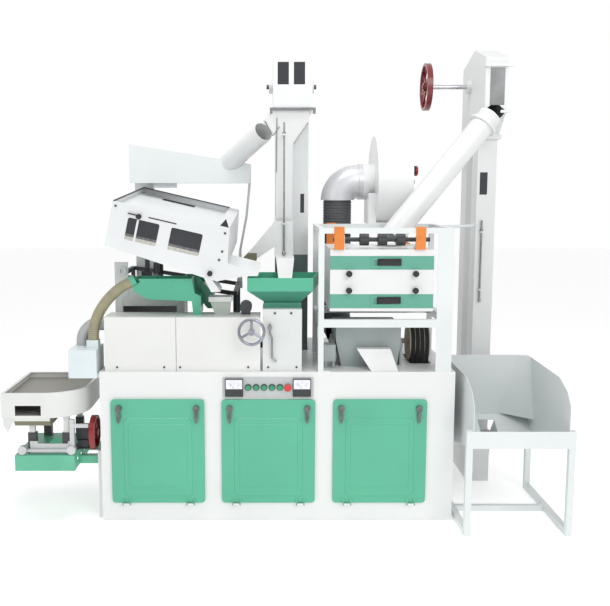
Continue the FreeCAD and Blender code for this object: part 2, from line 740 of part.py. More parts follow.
def gate_crank():
    y = COVER_Y - 16
    start = V(CRANK_X, y, CRANK_Z + 20)
    knee = V(CRANK_X, y, CRANK_Z - 30)
    low = V(CRANK_X + 10, y, CRANK_Z - 52)
    foot = V(CRANK_X + 10, y, CRANK_Z - CRANK_LEN)
    tip = V(CRANK_X + 32, y, CRANK_Z - CRANK_LEN - 18)
    runs = [(start, knee), (knee, low), (low, foot), (foot, tip)]
    rod = [bar(a, b, CRANK_R) for a, b in runs]
    knobs = [Part.makeSphere(CRANK_R, p) for p in (knee, low, foot)]
    pivot = bar_y(y - 10, COVER_Y + 12, CRANK_X, CRANK_Z, CRANK_R)
    hub = bar_y(y - 8, y + 10, CRANK_X, CRANK_Z, 11)
    return union(hub, pivot, *rod, *knobs)


# ======================= hoppers and trays on the whitener =======================

def centre_hopper():
    band = HOPPER_TOP - HOPPER_BAND
    plan = [(HOPPER_X0, HOPPER_Y0), (HOPPER_X1, HOPPER_Y0), (HOPPER_BACK_X1, HOPPER_Y1),
            (HOPPER_X0, HOPPER_Y1)]

    def ring(points, z):
        return Part.makePolygon([V(x, y, z) for x, y in points + [points[0]]])

    def inset(points, d):
        (ax, ay), (bx, by), (cx, cy), (dx, dy) = points
        return [(ax + d, ay + d), (bx - d, by + d), (cx - d, cy - d), (dx + d, dy - d)]
    neck = [(NECK_X0, NECK_Y0), (NECK_X1, NECK_Y0), (NECK_X1, NECK_Y1), (NECK_X0, NECK_Y1)]
    outer = union(prism_xy(plan, band, HOPPER_TOP),
                  Part.makeLoft([ring(neck, NECK_TOP), ring(plan, band)], True, True))
    inner = union(prism_xy(inset(plan, SHEET), band, HOPPER_TOP + 1),
                  Part.makeLoft([ring(inset(neck, SHEET), NECK_TOP), ring(inset(plan, SHEET), band)],
                                True, True))
    bore = block(NECK_X0 + 20, NECK_X1 - 20, NECK_Y0 + 20, NECK_Y1 - 20, DECK + STAND_H - 1, NECK_TOP + 1)
    flange = block(NECK_X0 - 8, NECK_X1 + 8, NECK_Y0 - 8, NECK_Y1 + 8, DECK + STAND_H, NECK_TOP)
    return union(outer, flange).cut(union(inner, bore))


def green_tray():
    """Brown rice tray against the hood's front, with a spout down to the whitener's ledge."""
    y0, y1 = TRAY_Y0, HOOD_Y0
    outline = [(TRAY_X0, TRAY_TOP), (TRAY_X0, TRAY_FLOOR + 40), (TRAY_X0 + 70, TRAY_FLOOR),
               (TRAY_X1, TRAY_FLOOR - 10), (TRAY_X1 + 6, COVER_TOP), (TRAY_X1 + TRAY_SPOUT, COVER_TOP),
               (TRAY_X1 + TRAY_SPOUT, TRAY_FLOOR + 15), (TRAY_X1 + 14, TRAY_FLOOR + 30),
               (TRAY_X1, TRAY_TOP)]
    solid = prism_xz(outline, y0, y1)
    inner = [(TRAY_X0 + SHEET, TRAY_TOP + 1), (TRAY_X0 + SHEET, TRAY_FLOOR + 42),
             (TRAY_X0 + 71, TRAY_FLOOR + SHEET),
             (TRAY_X1 + 1, TRAY_FLOOR - 10 + SHEET), (TRAY_X1 + 6 + SHEET, COVER_TOP - 1),
             (TRAY_X1 + TRAY_SPOUT - SHEET, COVER_TOP - 1), (TRAY_X1 + TRAY_SPOUT - SHEET,
                                                             TRAY_FLOOR + 13),
                                                             (TRAY_X1 + 14 - SHEET, TRAY_FLOOR + 28),
             (TRAY_X1 - SHEET, TRAY_TOP + 1)]
    end, before = V(*HOSE_ROUTE[-1]), V(*HOSE_ROUTE[-2])
    heading = (end - before).normalize()
    socket = bar(end, end + heading * 24, HOSE_D / 2)
    bore = bar(end - heading, end + heading * 40, HOSE_D / 2 - SHEET)
    tray = minus(union(solid, socket), prism_xz(inner, y0 + SHEET, y1 - SHEET), bore)
    chute = prism_xz([(HOOD_X1, TRAY_TOP - 6), (HOOD_X1 + 70, TRAY_TOP - 6), (HOOD_X1 + 150, TRAY_TOP - 90),
                      (HOOD_X1 + 150, COVER_TOP + 10), (HOOD_X1 + 120, COVER_TOP + 10),
                      (HOOD_X1 + 60, TRAY_TOP - 100), (HOOD_X1, TRAY_TOP - 100)], HOOD_Y0 + 10,
                      HOOD_Y1 - 20)
    hollow = prism_xz([(HOOD_X1 + SHEET, TRAY_TOP), (HOOD_X1 + 68, TRAY_TOP),
                       (HOOD_X1 + 147, TRAY_TOP - 92),
                       (HOOD_X1 + 147, COVER_TOP), (HOOD_X1 + 123, COVER_TOP),
                       (HOOD_X1 + 62, TRAY_TOP - 97), (HOOD_X1 + SHEET, TRAY_TOP - 97)],
                      HOOD_Y0 + 10 + SHEET, HOOD_Y1 - 20 - SHEET)
    return group(tray, chute.cut(hollow))


# ======================= gravity separator =======================

def sep_place(shape):
    """Turn a shape built level at the origin into the separator's tilt."""
    moved = shape.copy()
    moved.rotate(V(0, 0, 0), X_AXIS, SEP_RISE)
    moved.rotate(V(0, 0, 0), Y_AXIS, SEP_TILT)
    moved.translate(SEP_MID)
    return moved


def sep_point(u, v, w):
    """World place of a point of the level separator."""
    p = V(u, v, w)
    p = FreeCAD.Rotation(X_AXIS, SEP_RISE).multVec(p)
    p = FreeCAD.Rotation(Y_AXIS, SEP_TILT).multVec(p)
    return p + SEP_MID


SEP_KNOBS = [(-150.0, -45.0), (243.0, -238.0)]   # deck slope and grain gate
SEP_KNOB_R = 13.0
SEP_KNOB_T = 16.0
SEP_BODY = [(-SEP_HALF, 0), (SEP_HALF, 0), (SEP_HALF + 30, -187), (SEP_HALF + 2, -SEP_LEFT_H - 48),
            (SEP_HALF - 56, -SEP_LEFT_H - 47), (-SEP_HALF, -SEP_LEFT_H)]
SEP_TROUGH = [(SEP_HALF + 24, -172), (SEP_HALF + 188, -175), (SEP_HALF + 185, -198), (SEP_HALF + 123, -214),
              (SEP_HALF - 8, -SEP_LEFT_H - 50)]


def inset_prism(points, inset, y0, y1):
    """The same outline drawn in all round by the inset, extruded."""
    wire = Part.makePolygon([V(x, y0, z) for x, z in points + [points[0]]])
    return Part.Face(wire.makeOffset2D(-inset)).extrude(V(0, y1 - y0, 0))


def separator_box():
    """Deck box of the gravity separator: recessed lid, windows, tilted decks and the discharge trough."""
    wall = SEP_WALL
    half = SEP_HALF
    low = -SEP_LEFT_H
    body = prism_xz(SEP_BODY, 0, SEP_D)
    trough = prism_xz(SEP_TROUGH, 0, SEP_TROUGH_D)
    lid_well = block(-half + wall, half - 60, 3 * wall, SEP_D - wall, -SEP_WELL, 1)
    under_lid = block(-half - 1, half + 60, -1, SEP_D + 1, -SEP_WELL - wall, 1)
    inside = inset_prism(SEP_BODY, wall, wall, SEP_D - wall).cut(under_lid)
    trough_way = block(half - 20, half + 180, wall, SEP_TROUGH_D - wall, low + 26, low + 40)
    trough_in = inset_prism(SEP_TROUGH, wall, wall, SEP_TROUGH_D - wall)
    mouth = block(half + 120, half + 176, wall, SEP_TROUGH_D - wall, low, low + 20)
    box = minus(union(body, trough), lid_well, inside, trough_in, trough_way, mouth)
    for x0, x1 in SEP_WINDOWS:
        box = box.cut(round_slab_xz(x0, x1, SEP_WINDOW_Z[0], SEP_WINDOW_Z[1], 10.0, -1, PANE_SEAT))
    feed_well = block(-150, 40, SEP_D - 190, SEP_D - 60, -SEP_WELL - 2 * wall, 1)
    box = box.cut(feed_well)
    decks = [block(-half + 1, half + 20, 1, SEP_D - 1, z - SHEET, z) for z in SEP_DECKS]
    lip = prism_xz([(half - 70, low - 45), (half - 30, low - 45), (half + 24, low - 96),
                    (half - 20, low - 108)],
                   0, 130)
    knobs = [bar_y(-SEP_KNOB_T, wall / 2, u, w, SEP_KNOB_R) for u, w in SEP_KNOBS]
    placed = sep_place(union(box, *decks, lip, *knobs))
    return union(placed, *[rocker_lug(k, y) for k in (0, 1) for y in ARM_Y])


def sep_floor(x, y):
    """Height of the separator's underside at a place in the machine."""
    low0 = sep_point(-SEP_HALF, 0, -SEP_LEFT_H)
    low1 = sep_point(SEP_HALF - 56, 0, -SEP_LEFT_H - 47)
    back = sep_point(-SEP_HALF, 1000, -SEP_LEFT_H) - low0
    along = low1 - low0
    v = (y - low0.y) / back.y
    t = (x - low0.x - v * back.x) / along.x
    return low0.z + t * along.z + v * back.z


def rocker_lug(k, y):
    """Lug under the box that takes a rocker arm's upper pin."""
    x, z = ARM_X[k], ARM_TOP_Z[k]
    cheek = []
    for side in (-1, 1):
        near = y + side * (ARM_T / 2 + 2)
        far = near + side * 8
        cheek.append(prism_xz([(x - 22, z - 14), (x + 22, z - 14), (x + 30, sep_floor(x + 30, y) + 2),
                               (x - 30, sep_floor(x - 30, y) + 2)], min(near, far), max(near, far)))
    pin = bar_y(y - ARM_T / 2 - 10, y + ARM_T / 2 + 10, x, z, ARM_PIN)
    return union(pin, *cheek)


def rocker_arms(k):
    """Two arms on one cross shaft, at the front and back of the separator."""
    x, z = ARM_X[k], ARM_TOP_Z[k]
    foot = z - ARM_LEN
    arms = []
    for y in ARM_Y:
        arm = union(block(x - ARM_W / 2 + 4, x + ARM_W / 2 - 4, y - ARM_T / 2, y + ARM_T / 2, foot, z),
                    bar_y(y - ARM_T / 2, y + ARM_T / 2, x, z, ARM_W / 2),
                    bar_y(y - ARM_T / 2, y + ARM_T / 2, x, foot, ARM_W / 2))
        arms.append(arm.cut(bar_y(y - ARM_T, y + ARM_T, x, z, ARM_PIN + PIN_PLAY)))
    shaft = bar_y(STAND_LEG_Y[0] + 1, STAND_LEG_Y[1] + LEG - 1, x, foot, ARM_PIN)
    return union(shaft, *arms)


def separator_stand():
    solids = []
    x0, x1 = STAND_LEG_X
    beam = [ARM_TOP_Z[0] - ARM_LEN, ARM_TOP_Z[1] - ARM_LEN]
    for x, top in ((x0, beam[0] + 40), (x1, beam[1] + 40)):
        for y in STAND_LEG_Y:
            solids.append(block(x, x + LEG, y, y + LEG, DECK, top))
        solids.append(block(x, x + LEG, STAND_LEG_Y[0], STAND_LEG_Y[1] + LEG, top - LEG, top))
    for y in STAND_LEG_Y:
        rail = prism_xz([(x0 + LEG, beam[0] + 40), (x1, beam[1] + 40), (x1, beam[1] + 40 - LEG),
                         (x0 + LEG, beam[0] + 40 - LEG)], y, y + LEG)
        solids.append(rail)
    frame = union(*solids)
    blocks = []
    for k in (0, 1):
        for y in (STAND_LEG_Y[0], STAND_LEG_Y[1]):
            x, z = ARM_X[k], beam[k]
            blocks.append(prism_xz([(x - 28, z - 26), (x + 28, z - 26), (x + 28, z + 60), (x - 28, z + 60)],
                                   y, y + LEG))
    frame = union(frame, *blocks)
    for k in (0, 1):
        frame = frame.cut(bar_y(STAND_LEG_Y[0] - 5, STAND_LEG_Y[1] + LEG + 5, ARM_X[k], beam[k],
                                ARM_PIN + FIT))
    return frame


def separator_feed_box():
    """Paddy feed box over the back of the separator, on one broad leg and a bent strap."""
    top0, top1 = FEED_TOP
    outline = [(FEED_X0, top0), (FEED_X1, top1), (FEED_X1, FEED_FLOOR), (FEED_X0, FEED_FLOOR)]
    slope = (top1 - top0) / (FEED_X1 - FEED_X0)
    inner = [(FEED_X0 + SHEET, top0 - SHEET), (FEED_X1 - SHEET, top1 - SHEET),
             (FEED_X1 - SHEET, FEED_FLOOR + SHEET), (FEED_X0 + SHEET, FEED_FLOOR + SHEET)]
    box = prism_xz(outline, FEED_Y0, FEED_Y1).cut(prism_xz(inner, FEED_Y0 + SHEET, FEED_Y1 - SHEET))
    start, end = PIPE_LEFT
    run = end - start
    box = box.cut(bar(start, end + run * 0.1, LEFT_PIPE_R + GAP))
    leg = open_tube_z(FEED_X0 - 4, FEED_X0 + FEED_LEG_W, BACK - 34, BACK, DECK, FEED_FLOOR, SHEET)
    spout = open_tube_z(-700, -575, 300, 380, 1668, FEED_FLOOR + SHEET, SHEET)
    box = box.cut(block(-697, -578, 303, 377, FEED_FLOOR - 1, FEED_FLOOR + 2 * SHEET))
    strap = [(FEED_X1 - 14, FEED_FLOOR + 10), (FEED_X1, FEED_FLOOR + 10), (FEED_X1 - 20, 1500),
             (FEED_X1 - 58, 1300),
             (STAND_LEG_X[1] + LEG + 14, ARM_TOP_Z[1] - ARM_LEN), (STAND_LEG_X[1], ARM_TOP_Z[1] - ARM_LEN),
             (FEED_X1 - 72, 1300), (FEED_X1 - 34, 1500)]
    return union(box, leg, spout, prism_xz(strap, STAND_LEG_Y[1] + LEG, STAND_LEG_Y[1] + 2 * LEG))


# ======================= bucket elevators =======================

def elevator_legs(x_pair, flange_z):
    x0, x1 = x_pair
    solids = [open_tube_z(x0, x1, y, y + LEG_D, BOOT_H - 20, flange_z, SHEET) for y in LEG_Y]
    y0, y1 = LEG_Y[0], LEG_Y[1] + LEG_D
    flange = block(x0 - FLANGE, x1 + FLANGE, y0 - FLANGE, y1 + FLANGE * 0.2, flange_z - FLANGE_T, flange_z)
    bores = [block(x0 + SHEET, x1 - SHEET, y + SHEET, y + LEG_D - SHEET, flange_z - 50,
                   flange_z + 1) for y in LEG_Y]
    return solids, flange, bores


def boot(x_pair, z0):
    x0, x1 = x_pair
    y0, y1 = LEG_Y[0] - 10, LEG_Y[1] + LEG_D + 10
    case = minus(block(x0 - 10, x1 + 10, y0, y1, z0, BOOT_H),
                 block(x0 - 10 + SHEET, x1 + 10 - SHEET, y0 + SHEET, y1 - SHEET, z0 + SHEET,
                       BOOT_H - SHEET))
    for y in LEG_Y:
        case = case.cut(block(x0 + SHEET, x1 - SHEET, y + SHEET, y + LEG_D - SHEET, BOOT_H - 30,
                              BOOT_H + 1))
    return case


def elevator_c_legs():
    solids, flange, bores = elevator_legs(CEN_X, CEN_FLANGE_Z)
    legs = union(flange, *solids)
    legs = minus(legs, *bores)
    for z0, z1 in ((1531, 1635), (1255, 1283)):
        legs = legs.cut(block(132, 154, LEG_Y[0] - 1, LEG_Y[0] + PANE_SEAT, z0, z1))
    return union(legs, boot(CEN_X, TOE))


def elevator_r_legs():
    solids, flange, bores = elevator_legs(RIGHT_X, RIGHT_FLANGE_Z)
    legs = minus(union(flange, *solids), *bores)
    legs = legs.cut(block(1118, 1160, LEG_Y[0] - 1, LEG_Y[0] + PANE_SEAT, 1630, 1752))
    x0, x1 = RIGHT_X
    out = LEG_Y[0] - MOUTH_OUT
    mouth = prism_yz([(LEG_Y[0] - 10, 60), (LEG_Y[0] - 10, MOUTH_Z[1] - 20), (out, MOUTH_Z[1]),
                      (out, MOUTH_Z[0])],
                     x0, x1)
    guides = [rod_guide(ROD_RIGHT, LEG_Y[0] + 1, ROD_RIGHT_Z[1] - 60 - GAP),
              rod_guide(ROD_RIGHT, LEG_Y[0] + 1, 1110)]
    return union(legs, boot(RIGHT_X, 0), mouth, *guides)


def c_head():
    x0, x1 = CEN_X[0] - 14, CEN_X[1] + 14
    y0, y1 = CEN_HEAD_Y
    z0 = CEN_FLANGE_Z
    ridge = (y0 + y1) / 2
    outer = prism_yz([(y0, z0), (y1, z0), (y1, CEN_HEAD_TOP), (ridge, CEN_HEAD_TOP + CEN_RIDGE),
                      (y0, CEN_HEAD_TOP)], x0, x1)
    inner = prism_yz([(y0 + SHEET, z0 - 1), (y1 - SHEET, z0 - 1), (y1 - SHEET, CEN_HEAD_TOP - 2),
                      (ridge, CEN_HEAD_TOP + CEN_RIDGE - 4), (y0 + SHEET, CEN_HEAD_TOP - 2)], x0 + SHEET,
                      x1 - SHEET)
    head = outer.cut(inner)
    for wx in (5, 91):
        head = head.cut(block(wx, wx + 60, y0 - 1, y0 + PANE_SEAT, 2210, 2327))
    for x in (x0, x1 - SHEET):
        head = head.cut(bar_x(x - 1, x + SHEET + 1, HEAD_SHAFT_Y, CEN_SHAFT_Z, HEAD_SHAFT_R + 1))
    bearings = [tube(V(x, HEAD_SHAFT_Y, CEN_SHAFT_Z), V(x + 22, HEAD_SHAFT_Y, CEN_SHAFT_Z), BEARING_R,
                     HEAD_SHAFT_R + FIT) for x in (x0 - 22, x1)]
    return union(head, *bearings)


def r_head_outline(inset):
    """Side view of the right head: its front overhangs the leg on a slanted underside."""
    y0, y1 = RIGHT_HEAD_Y
    foot = RIGHT_FLANGE_Z
    ridge = (y0 + y1) / 2
    d = inset
    return [(y0 + d, RIGHT_HEAD_FOOT + d), (LEG_Y[0] + d, foot + d), (y1 - d, foot + d),
            (y1 - d, RIGHT_EAVES - d),
            (ridge, RIGHT_RIDGE - d), (y0 + d, RIGHT_EAVES - d)]


def r_head_sill():
    x0, x1 = RIGHT_X[0] - 8, RIGHT_X[1] + 4
    y0 = RIGHT_HEAD_Y[0]
    return block(x0 - 18, x1 + 16, y0 - 14, y0 + 20, RIGHT_HEAD_FOOT - 14, RIGHT_HEAD_FOOT)


def r_head():
    x0, x1 = RIGHT_X[0] - 8, RIGHT_X[1] + 4
    y0, y1 = RIGHT_HEAD_Y
    foot = RIGHT_FLANGE_Z
    start, end = PIPE_RIGHT
    back = (start - end).normalize()
    ways = [block(x0 + 12, x1 - 8, y + SHEET, y + LEG_D - SHEET, foot - 1, foot + 30) for y in LEG_Y]
    cornice = block(x0 - 6, x1 + 22, y0 - 20, y0 + 10, RIGHT_EAVES - 50, RIGHT_EAVES - 34)
    rim = block(x0 - 14, x1 + 14, LEG_Y[0] - 14, y1 + 6, foot, foot + FLANGE_T)
    head = union(prism_yz(r_head_outline(0), x0, x1), cornice, r_head_sill(), rim)
    head = minus(head, prism_yz(r_head_outline(SHEET), x0 + SHEET, x1 - SHEET), *ways)
    head = head.cut(bar(start, start + back * 90, PIPE_R - 3 * PIPE_T))
    head = head.cut(block(x0 + 24, x1 - 14, y0 - 1, y0 + PANE_SEAT, RIGHT_HEAD_FOOT + 26, RIGHT_EAVES - 54))
    for x in (x0, x1 - SHEET):
        head = head.cut(bar_x(x - 1, x + SHEET + 1, HEAD_SHAFT_Y, RIGHT_SHAFT_Z, HEAD_SHAFT_R + 1))
    bearings = [tube(V(x, HEAD_SHAFT_Y, RIGHT_SHAFT_Z), V(x + 22, HEAD_SHAFT_Y, RIGHT_SHAFT_Z), BEARING_R,
                     HEAD_SHAFT_R + FIT) for x in (x0 - 22, x1)]
    return union(head, *bearings)


def elevator_c_pulley():
    x0, x1 = CEN_X[0] - 50, CEN_X[1] + 50
    drum = bar_x(CEN_X[0] + 10, CEN_X[1] - 10, HEAD_SHAFT_Y, CEN_SHAFT_Z, HEAD_DRUM_R)
    return union(bar_x(x0, x1, HEAD_SHAFT_Y, CEN_SHAFT_Z, HEAD_SHAFT_R), drum)


def elevator_r_pulley():
    x_end = RED_PULLEY_X - 24
    y, z = HEAD_SHAFT_Y, RIGHT_SHAFT_Z
    shaft = bar_x(x_end, RIGHT_X[1] + 40, y, z, HEAD_SHAFT_R)
    drum = bar_x(RIGHT_X[0] + 10, RIGHT_X[1] - 10, y, z, HEAD_DRUM_R - 10)
    return union(shaft, drum, spoked_wheel(RED_PULLEY_X, y, z, RED_PULLEY_R, RED_PULLEY_W, 24, 16, 4))


def spoked_wheel(x, y, z, radius, width, hub, rim, spokes):
    half = width / 2
    ring = tube(V(x - half, y, z), V(x + half, y, z), radius, radius - rim)
    boss = bar_x(x - half - 4, x + half + 4, y, z, hub)
    arms = []
    for k in range(spokes):
        turn = math.radians(45 + 360 * k / spokes)
        arm = block(x - 5, x + 5, y - 9, y + 9, z, z + radius - rim / 2)
        arm.rotate(V(x, y, z), X_AXIS, math.degrees(turn))
        arms.append(arm)
    return union(ring, boss, *arms)


# ======================= ducts and pipes =======================

def centre_chutes():
    """Hood under the centre head, down duct, elbow chute and hopper neck."""
    y0, y1 = 14.0, LEG_Y[0]
    top = CEN_FLANGE_Z - FLANGE_T
    hood = prism_xz([(CEN_X[0] - 18, top), (CEN_X[1], top), (CEN_X[1], 2019), (86, 1889), (86, 1493),
                     (-3, 1493),
                     (-3, 1950), (-17, 1955), (-72, 2027), (-22, top - 8)], y0, y1)
    hollow = prism_xz([(-14, top - SHEET), (CEN_X[1] - SHEET, top - SHEET), (CEN_X[1] - SHEET, 2021),
                       (83, 1891),
                       (83, 1470), (0, 1470), (0, 1950), (-16, 1957), (-70, 2028), (-21, top - 12)],
                      y0 + SHEET, y1 - SHEET)
    lower = prism_xz([(-3, 1493), (86, 1493), (92, 1300), (-9, 1300), (-9, 1353), (-104, 1288),
                      (-148, 1319)],
                     -30, y1)
    lower_in = prism_xz([(0, 1496), (83, 1496), (89, 1303), (-6, 1303), (-6, 1358), (-102, 1292),
                         (-144, 1320)],
                        -30 + SHEET, y1 - SHEET)
    sleeve = prism_xz([(-148, 1319), (-104, 1288), (-126, 1226), (-224, 1244)], -30, y1)
    sleeve_in = prism_xz([(-144, 1320), (-102, 1290), (-129, 1220), (-222, 1236)], -30 + SHEET, y1 - SHEET)
    neck = tapered_spout((-3, 92, -150, -30, 1300), (8, 74, -330, -250, 1196))
    link = block(-6, 92, -150, -30 + SHEET, 1300, 1300 + SHEET)
    pipe = slant_pipe(PIPE_LEFT, LEFT_PIPE_R)
    duct = union(hood.cut(hollow), lower.cut(lower_in), sleeve.cut(sleeve_in), link, neck, pipe)
    guides = [rod_guide(ROD_CENTRE, y0 + 1, ROD_CENTRE_Z[1] - 60 - GAP), rod_guide(ROD_CENTRE, -29, 1480)]
    return union(duct, *guides)


def tapered_spout(top, foot):
    def ring(r):
        x0, x1, y0, y1, z = r
        return Part.makePolygon([V(x0, y0, z), V(x1, y0, z), V(x1, y1, z), V(x0, y1, z), V(x0, y0, z)])

    def shrink(r, d, lift):
        x0, x1, y0, y1, z = r
        return (x0 + d, x1 - d, y0 + d, y1 - d, z + lift)
    outer = Part.makeLoft([ring(foot), ring(top)], True, True)
    inner = Part.makeLoft([ring(shrink(foot, SHEET, 0)), ring(shrink(top, SHEET, 0))], True, True)
    return outer.cut(inner)


def slant_pipe(ends, radius):
    start, end = ends
    return tube(start, end, radius, radius - PIPE_T)


def feed_pipe():
    """Pipe from the right head down to the sieve, cut to fit under the head's slanted floor."""
    start, end = PIPE_RIGHT
    run = (end - start).normalize()
    collar = tube(start + run * 30, start + run * 44, PIPE_R + 14, PIPE_R - PIPE_T)
    pipe = union(slant_pipe((start - run * 30, end), PIPE_R), collar)
    x0, x1 = RIGHT_X[0] - 8, RIGHT_X[1] + 4
    return minus(pipe, prism_yz(r_head_outline(0), x0, x1), r_head_sill())


def gate_rod(place, span, knob):
    """Pull rod of a grain gate: it hangs in its guides by a collar on the upper one."""
    x, y = place
    z0, z1 = span
    collar = bar_z(z1 - 60, z1 - 50, x, y, ROD_R + 4)
    return union(bar_z(z0, z1, x, y, ROD_R), collar, Part.makeSphere(knob, V(x, y, z0)))


def rod_guide(place, wall_y, z):
    """Eye on an arm from the wall behind it, its top face at z."""
    x, y = place
    arm = block(x - 8, x + 8, y, wall_y, z - 8, z)
    return union(arm, bar_z(z - 8, z, x, y, ROD_R + 6)).cut(bar_z(z - 9, z + 1, x, y, ROD_R + FIT))


# ======================= cleaning sieve =======================

def sieve_frame():
    x0, x1 = FRAME_X0, FRAME_X1
    y0, y1 = FRONT, FRAME_BACK
    p = FRAME_POST
    wide = FRAME_RIGHT_POST
    posts = [block(x0, x0 + p, y0, y0 + p, DECK, FRAME_TOP), block(x0, x0 + p, y1 - p, y1, DECK, FRAME_TOP),
             block(x1 - wide, x1, y0, y0 + SHEET, DECK, FRAME_TOP),
             block(x1 - SHEET, x1, y0, y0 + wide, DECK, FRAME_TOP),
             block(x1 - p, x1, y1 - p, y1, DECK, FRAME_TOP)]
    beams = []
    for z0, z1 in ((FRAME_TOP - p, FRAME_TOP), (MID_Z0, MID_Z1)):
        beams += [block(x0, x1, y0, y0 + p, z0, z1), block(x0, x1, y1 - p, y1, z0, z1),
                  block(x0, x0 + p, y0, y1, z0, z1), block(x1 - p, x1, y0, y1, z0, z1)]
    pads = [block(x0, x0 + 60, y0 + 1, y0 + 60, DECK, DECK + 4),
            block(x1 - 80, x1, y1 - 60, y1, DECK, DECK + 4),
            block(x0, x0 + 60, y1 - 60, y1, DECK, DECK + 4)]
    level = FRAME_TOP - p / 2
    reach = V(RIGHT_X[0] + 20, LEG_Y[0] + 34, level)
    stay = bar(V(x1 - 10, y1 - 100, level), reach, 8).cut(
        block(RIGHT_X[0], RIGHT_X[1], LEG_Y[0], LEG_Y[0] + LEG_D, level - 20, level + 20))
    return union(*posts, *beams, *pads, stay)


def sieve_box():
    x0, x1, y0, y1 = SIEVE_X0, SIEVE_X1, SIEVE_Y0, SIEVE_Y1
    w = SIEVE_WALL
    body = block(x0, x1, y0, y1, SIEVE_Z0, SIEVE_Z1)
    for z0, z1 in DRAWER_Z:
        body = body.cut(block(x0 + w, x1 - w, y0 - 1, y1 - w, z0, z1))
        body = body.cut(block(x0 - 1, x1 + 1, y0 - 1, y0 + w, z0, z1))
    middle = block(x0 + w, x1 - w, y0 + w, y1 - w, DRAWER_Z[0][1] + w, DRAWER_Z[1][0] - w)
    crown = block(x0 + w, x1 - w, y0 + w, y1 - w, DRAWER_Z[1][1] - 1, SIEVE_Z1 - w)
    inlet = bar_z(DRAWER_Z[1][1] - 5, SIEVE_Z1 + 1, SIEVE_INLET[0], SIEVE_INLET[1], PIPE_R)
    body = minus(body, middle, crown, inlet)
    for x in (x0 + 60, x1 - 60):
        bearing = union(block(x - 22, x + 22, ECC_Y - 34, ECC_Y + 34, SIEVE_Z1, SIEVE_Z1 + 12),
                        block(x - 16, x + 16, ECC_Y - 22, ECC_Y + 22, SIEVE_Z1, ECC_Z),
                        bar_x(x - 16, x + 16, ECC_Y, ECC_Z, 22))
        body = union(body, bearing)
        body = body.cut(bar_x(x - 20, x + 20, ECC_Y, ECC_Z, ECC_R + FIT))
    return group(body, *sieve_knobs())


def sieve_drawer(k):
    x0, x1, y0, y1 = SIEVE_X0, SIEVE_X1, SIEVE_Y0, SIEVE_Y1
    w = SIEVE_WALL
    z0, z1 = DRAWER_Z[k][0] + GAP, DRAWER_Z[k][1] - GAP
    front = block(x0, x1, y0, y0 + w - GAP, z0, z1)
    mid = (x0 + x1) / 2
    bezel = block(mid - 54, mid + 54, y0 - 3, y0, z0 + 8, z1 - 8)
    pull = block(mid - 42, mid + 42, y0 - 4, y0 + w - 4, z0 + 20, z1 - 20)
    rails = minus(block(x0 + w + GAP, x1 - w - GAP, y0 + w - GAP, y1 - w - GAP, z0, z0 + 34),
                  block(x0 + w + 20, x1 - w - 20, y0 + w - 1, y1 - w - 20, z0 + 12, z0 + 40),
                  block(x0 + w + 40, x1 - w - 40, y0 + w + 20, y1 - w - 40, z0 - 1, z0 + 9))
    return union(front, bezel, rails).cut(pull)


def sieve_knobs():
    knobs = []
    for x in (348.0, 672.0):
        for z in (DRAWER_Z[1][0] - KNOB_R - SLOT, DRAWER_Z[0][1] + KNOB_R + SLOT):
            knobs.append(union(bar_y(SIEVE_Y0 - 18, SIEVE_Y0, x, z, KNOB_R / 2),
                               bar_y(SIEVE_Y0 - 28, SIEVE_Y0 - 14, x, z, KNOB_R)))
    return knobs


def leaf_springs():
    straps = []
    for x in SPRING_X:
        x0, x1 = x - SPRING_W / 2, x + SPRING_W / 2
        y = FRONT - SPRING_T - GAP
        top = FRAME_TOP
        straps.append(union(block(x0, x1, y, y + SPRING_T, SIEVE_Z1 + GAP, top + SPRING_T),
                            block(x0, x1, y, FRONT + FRAME_POST, top, top + SPRING_T),
                            block(x0, x1, y, SIEVE_Y0 + 30, SIEVE_Z1 + GAP, SIEVE_Z1 + GAP + SPRING_T)))
        back = FRAME_BACK + GAP
        straps.append(union(block(x0, x1, back, back + SPRING_T, SIEVE_Z1 + GAP, top + SPRING_T),
                            block(x0, x1, FRAME_BACK - FRAME_POST, back + SPRING_T, top, top + SPRING_T),
                            block(x0, x1, SIEVE_Y1 - 30, back + SPRING_T, SIEVE_Z1 + GAP,
                                  SIEVE_Z1 + GAP + SPRING_T)))
    return group(*straps)


def eccentric_shaft():
    shaft = bar_x(SIEVE_X0 + 20, SIEVE_X1 - 8, ECC_Y, ECC_Z, ECC_R)
    weights = []
    for x in (430.0, 520.0, 610.0):
        disc = bar_x(x - 22, x + 22, ECC_Y, ECC_Z, ECC_WEIGHT_R)
        weights.append(disc)
    return union(shaft, *weights)


# ======================= husker =======================

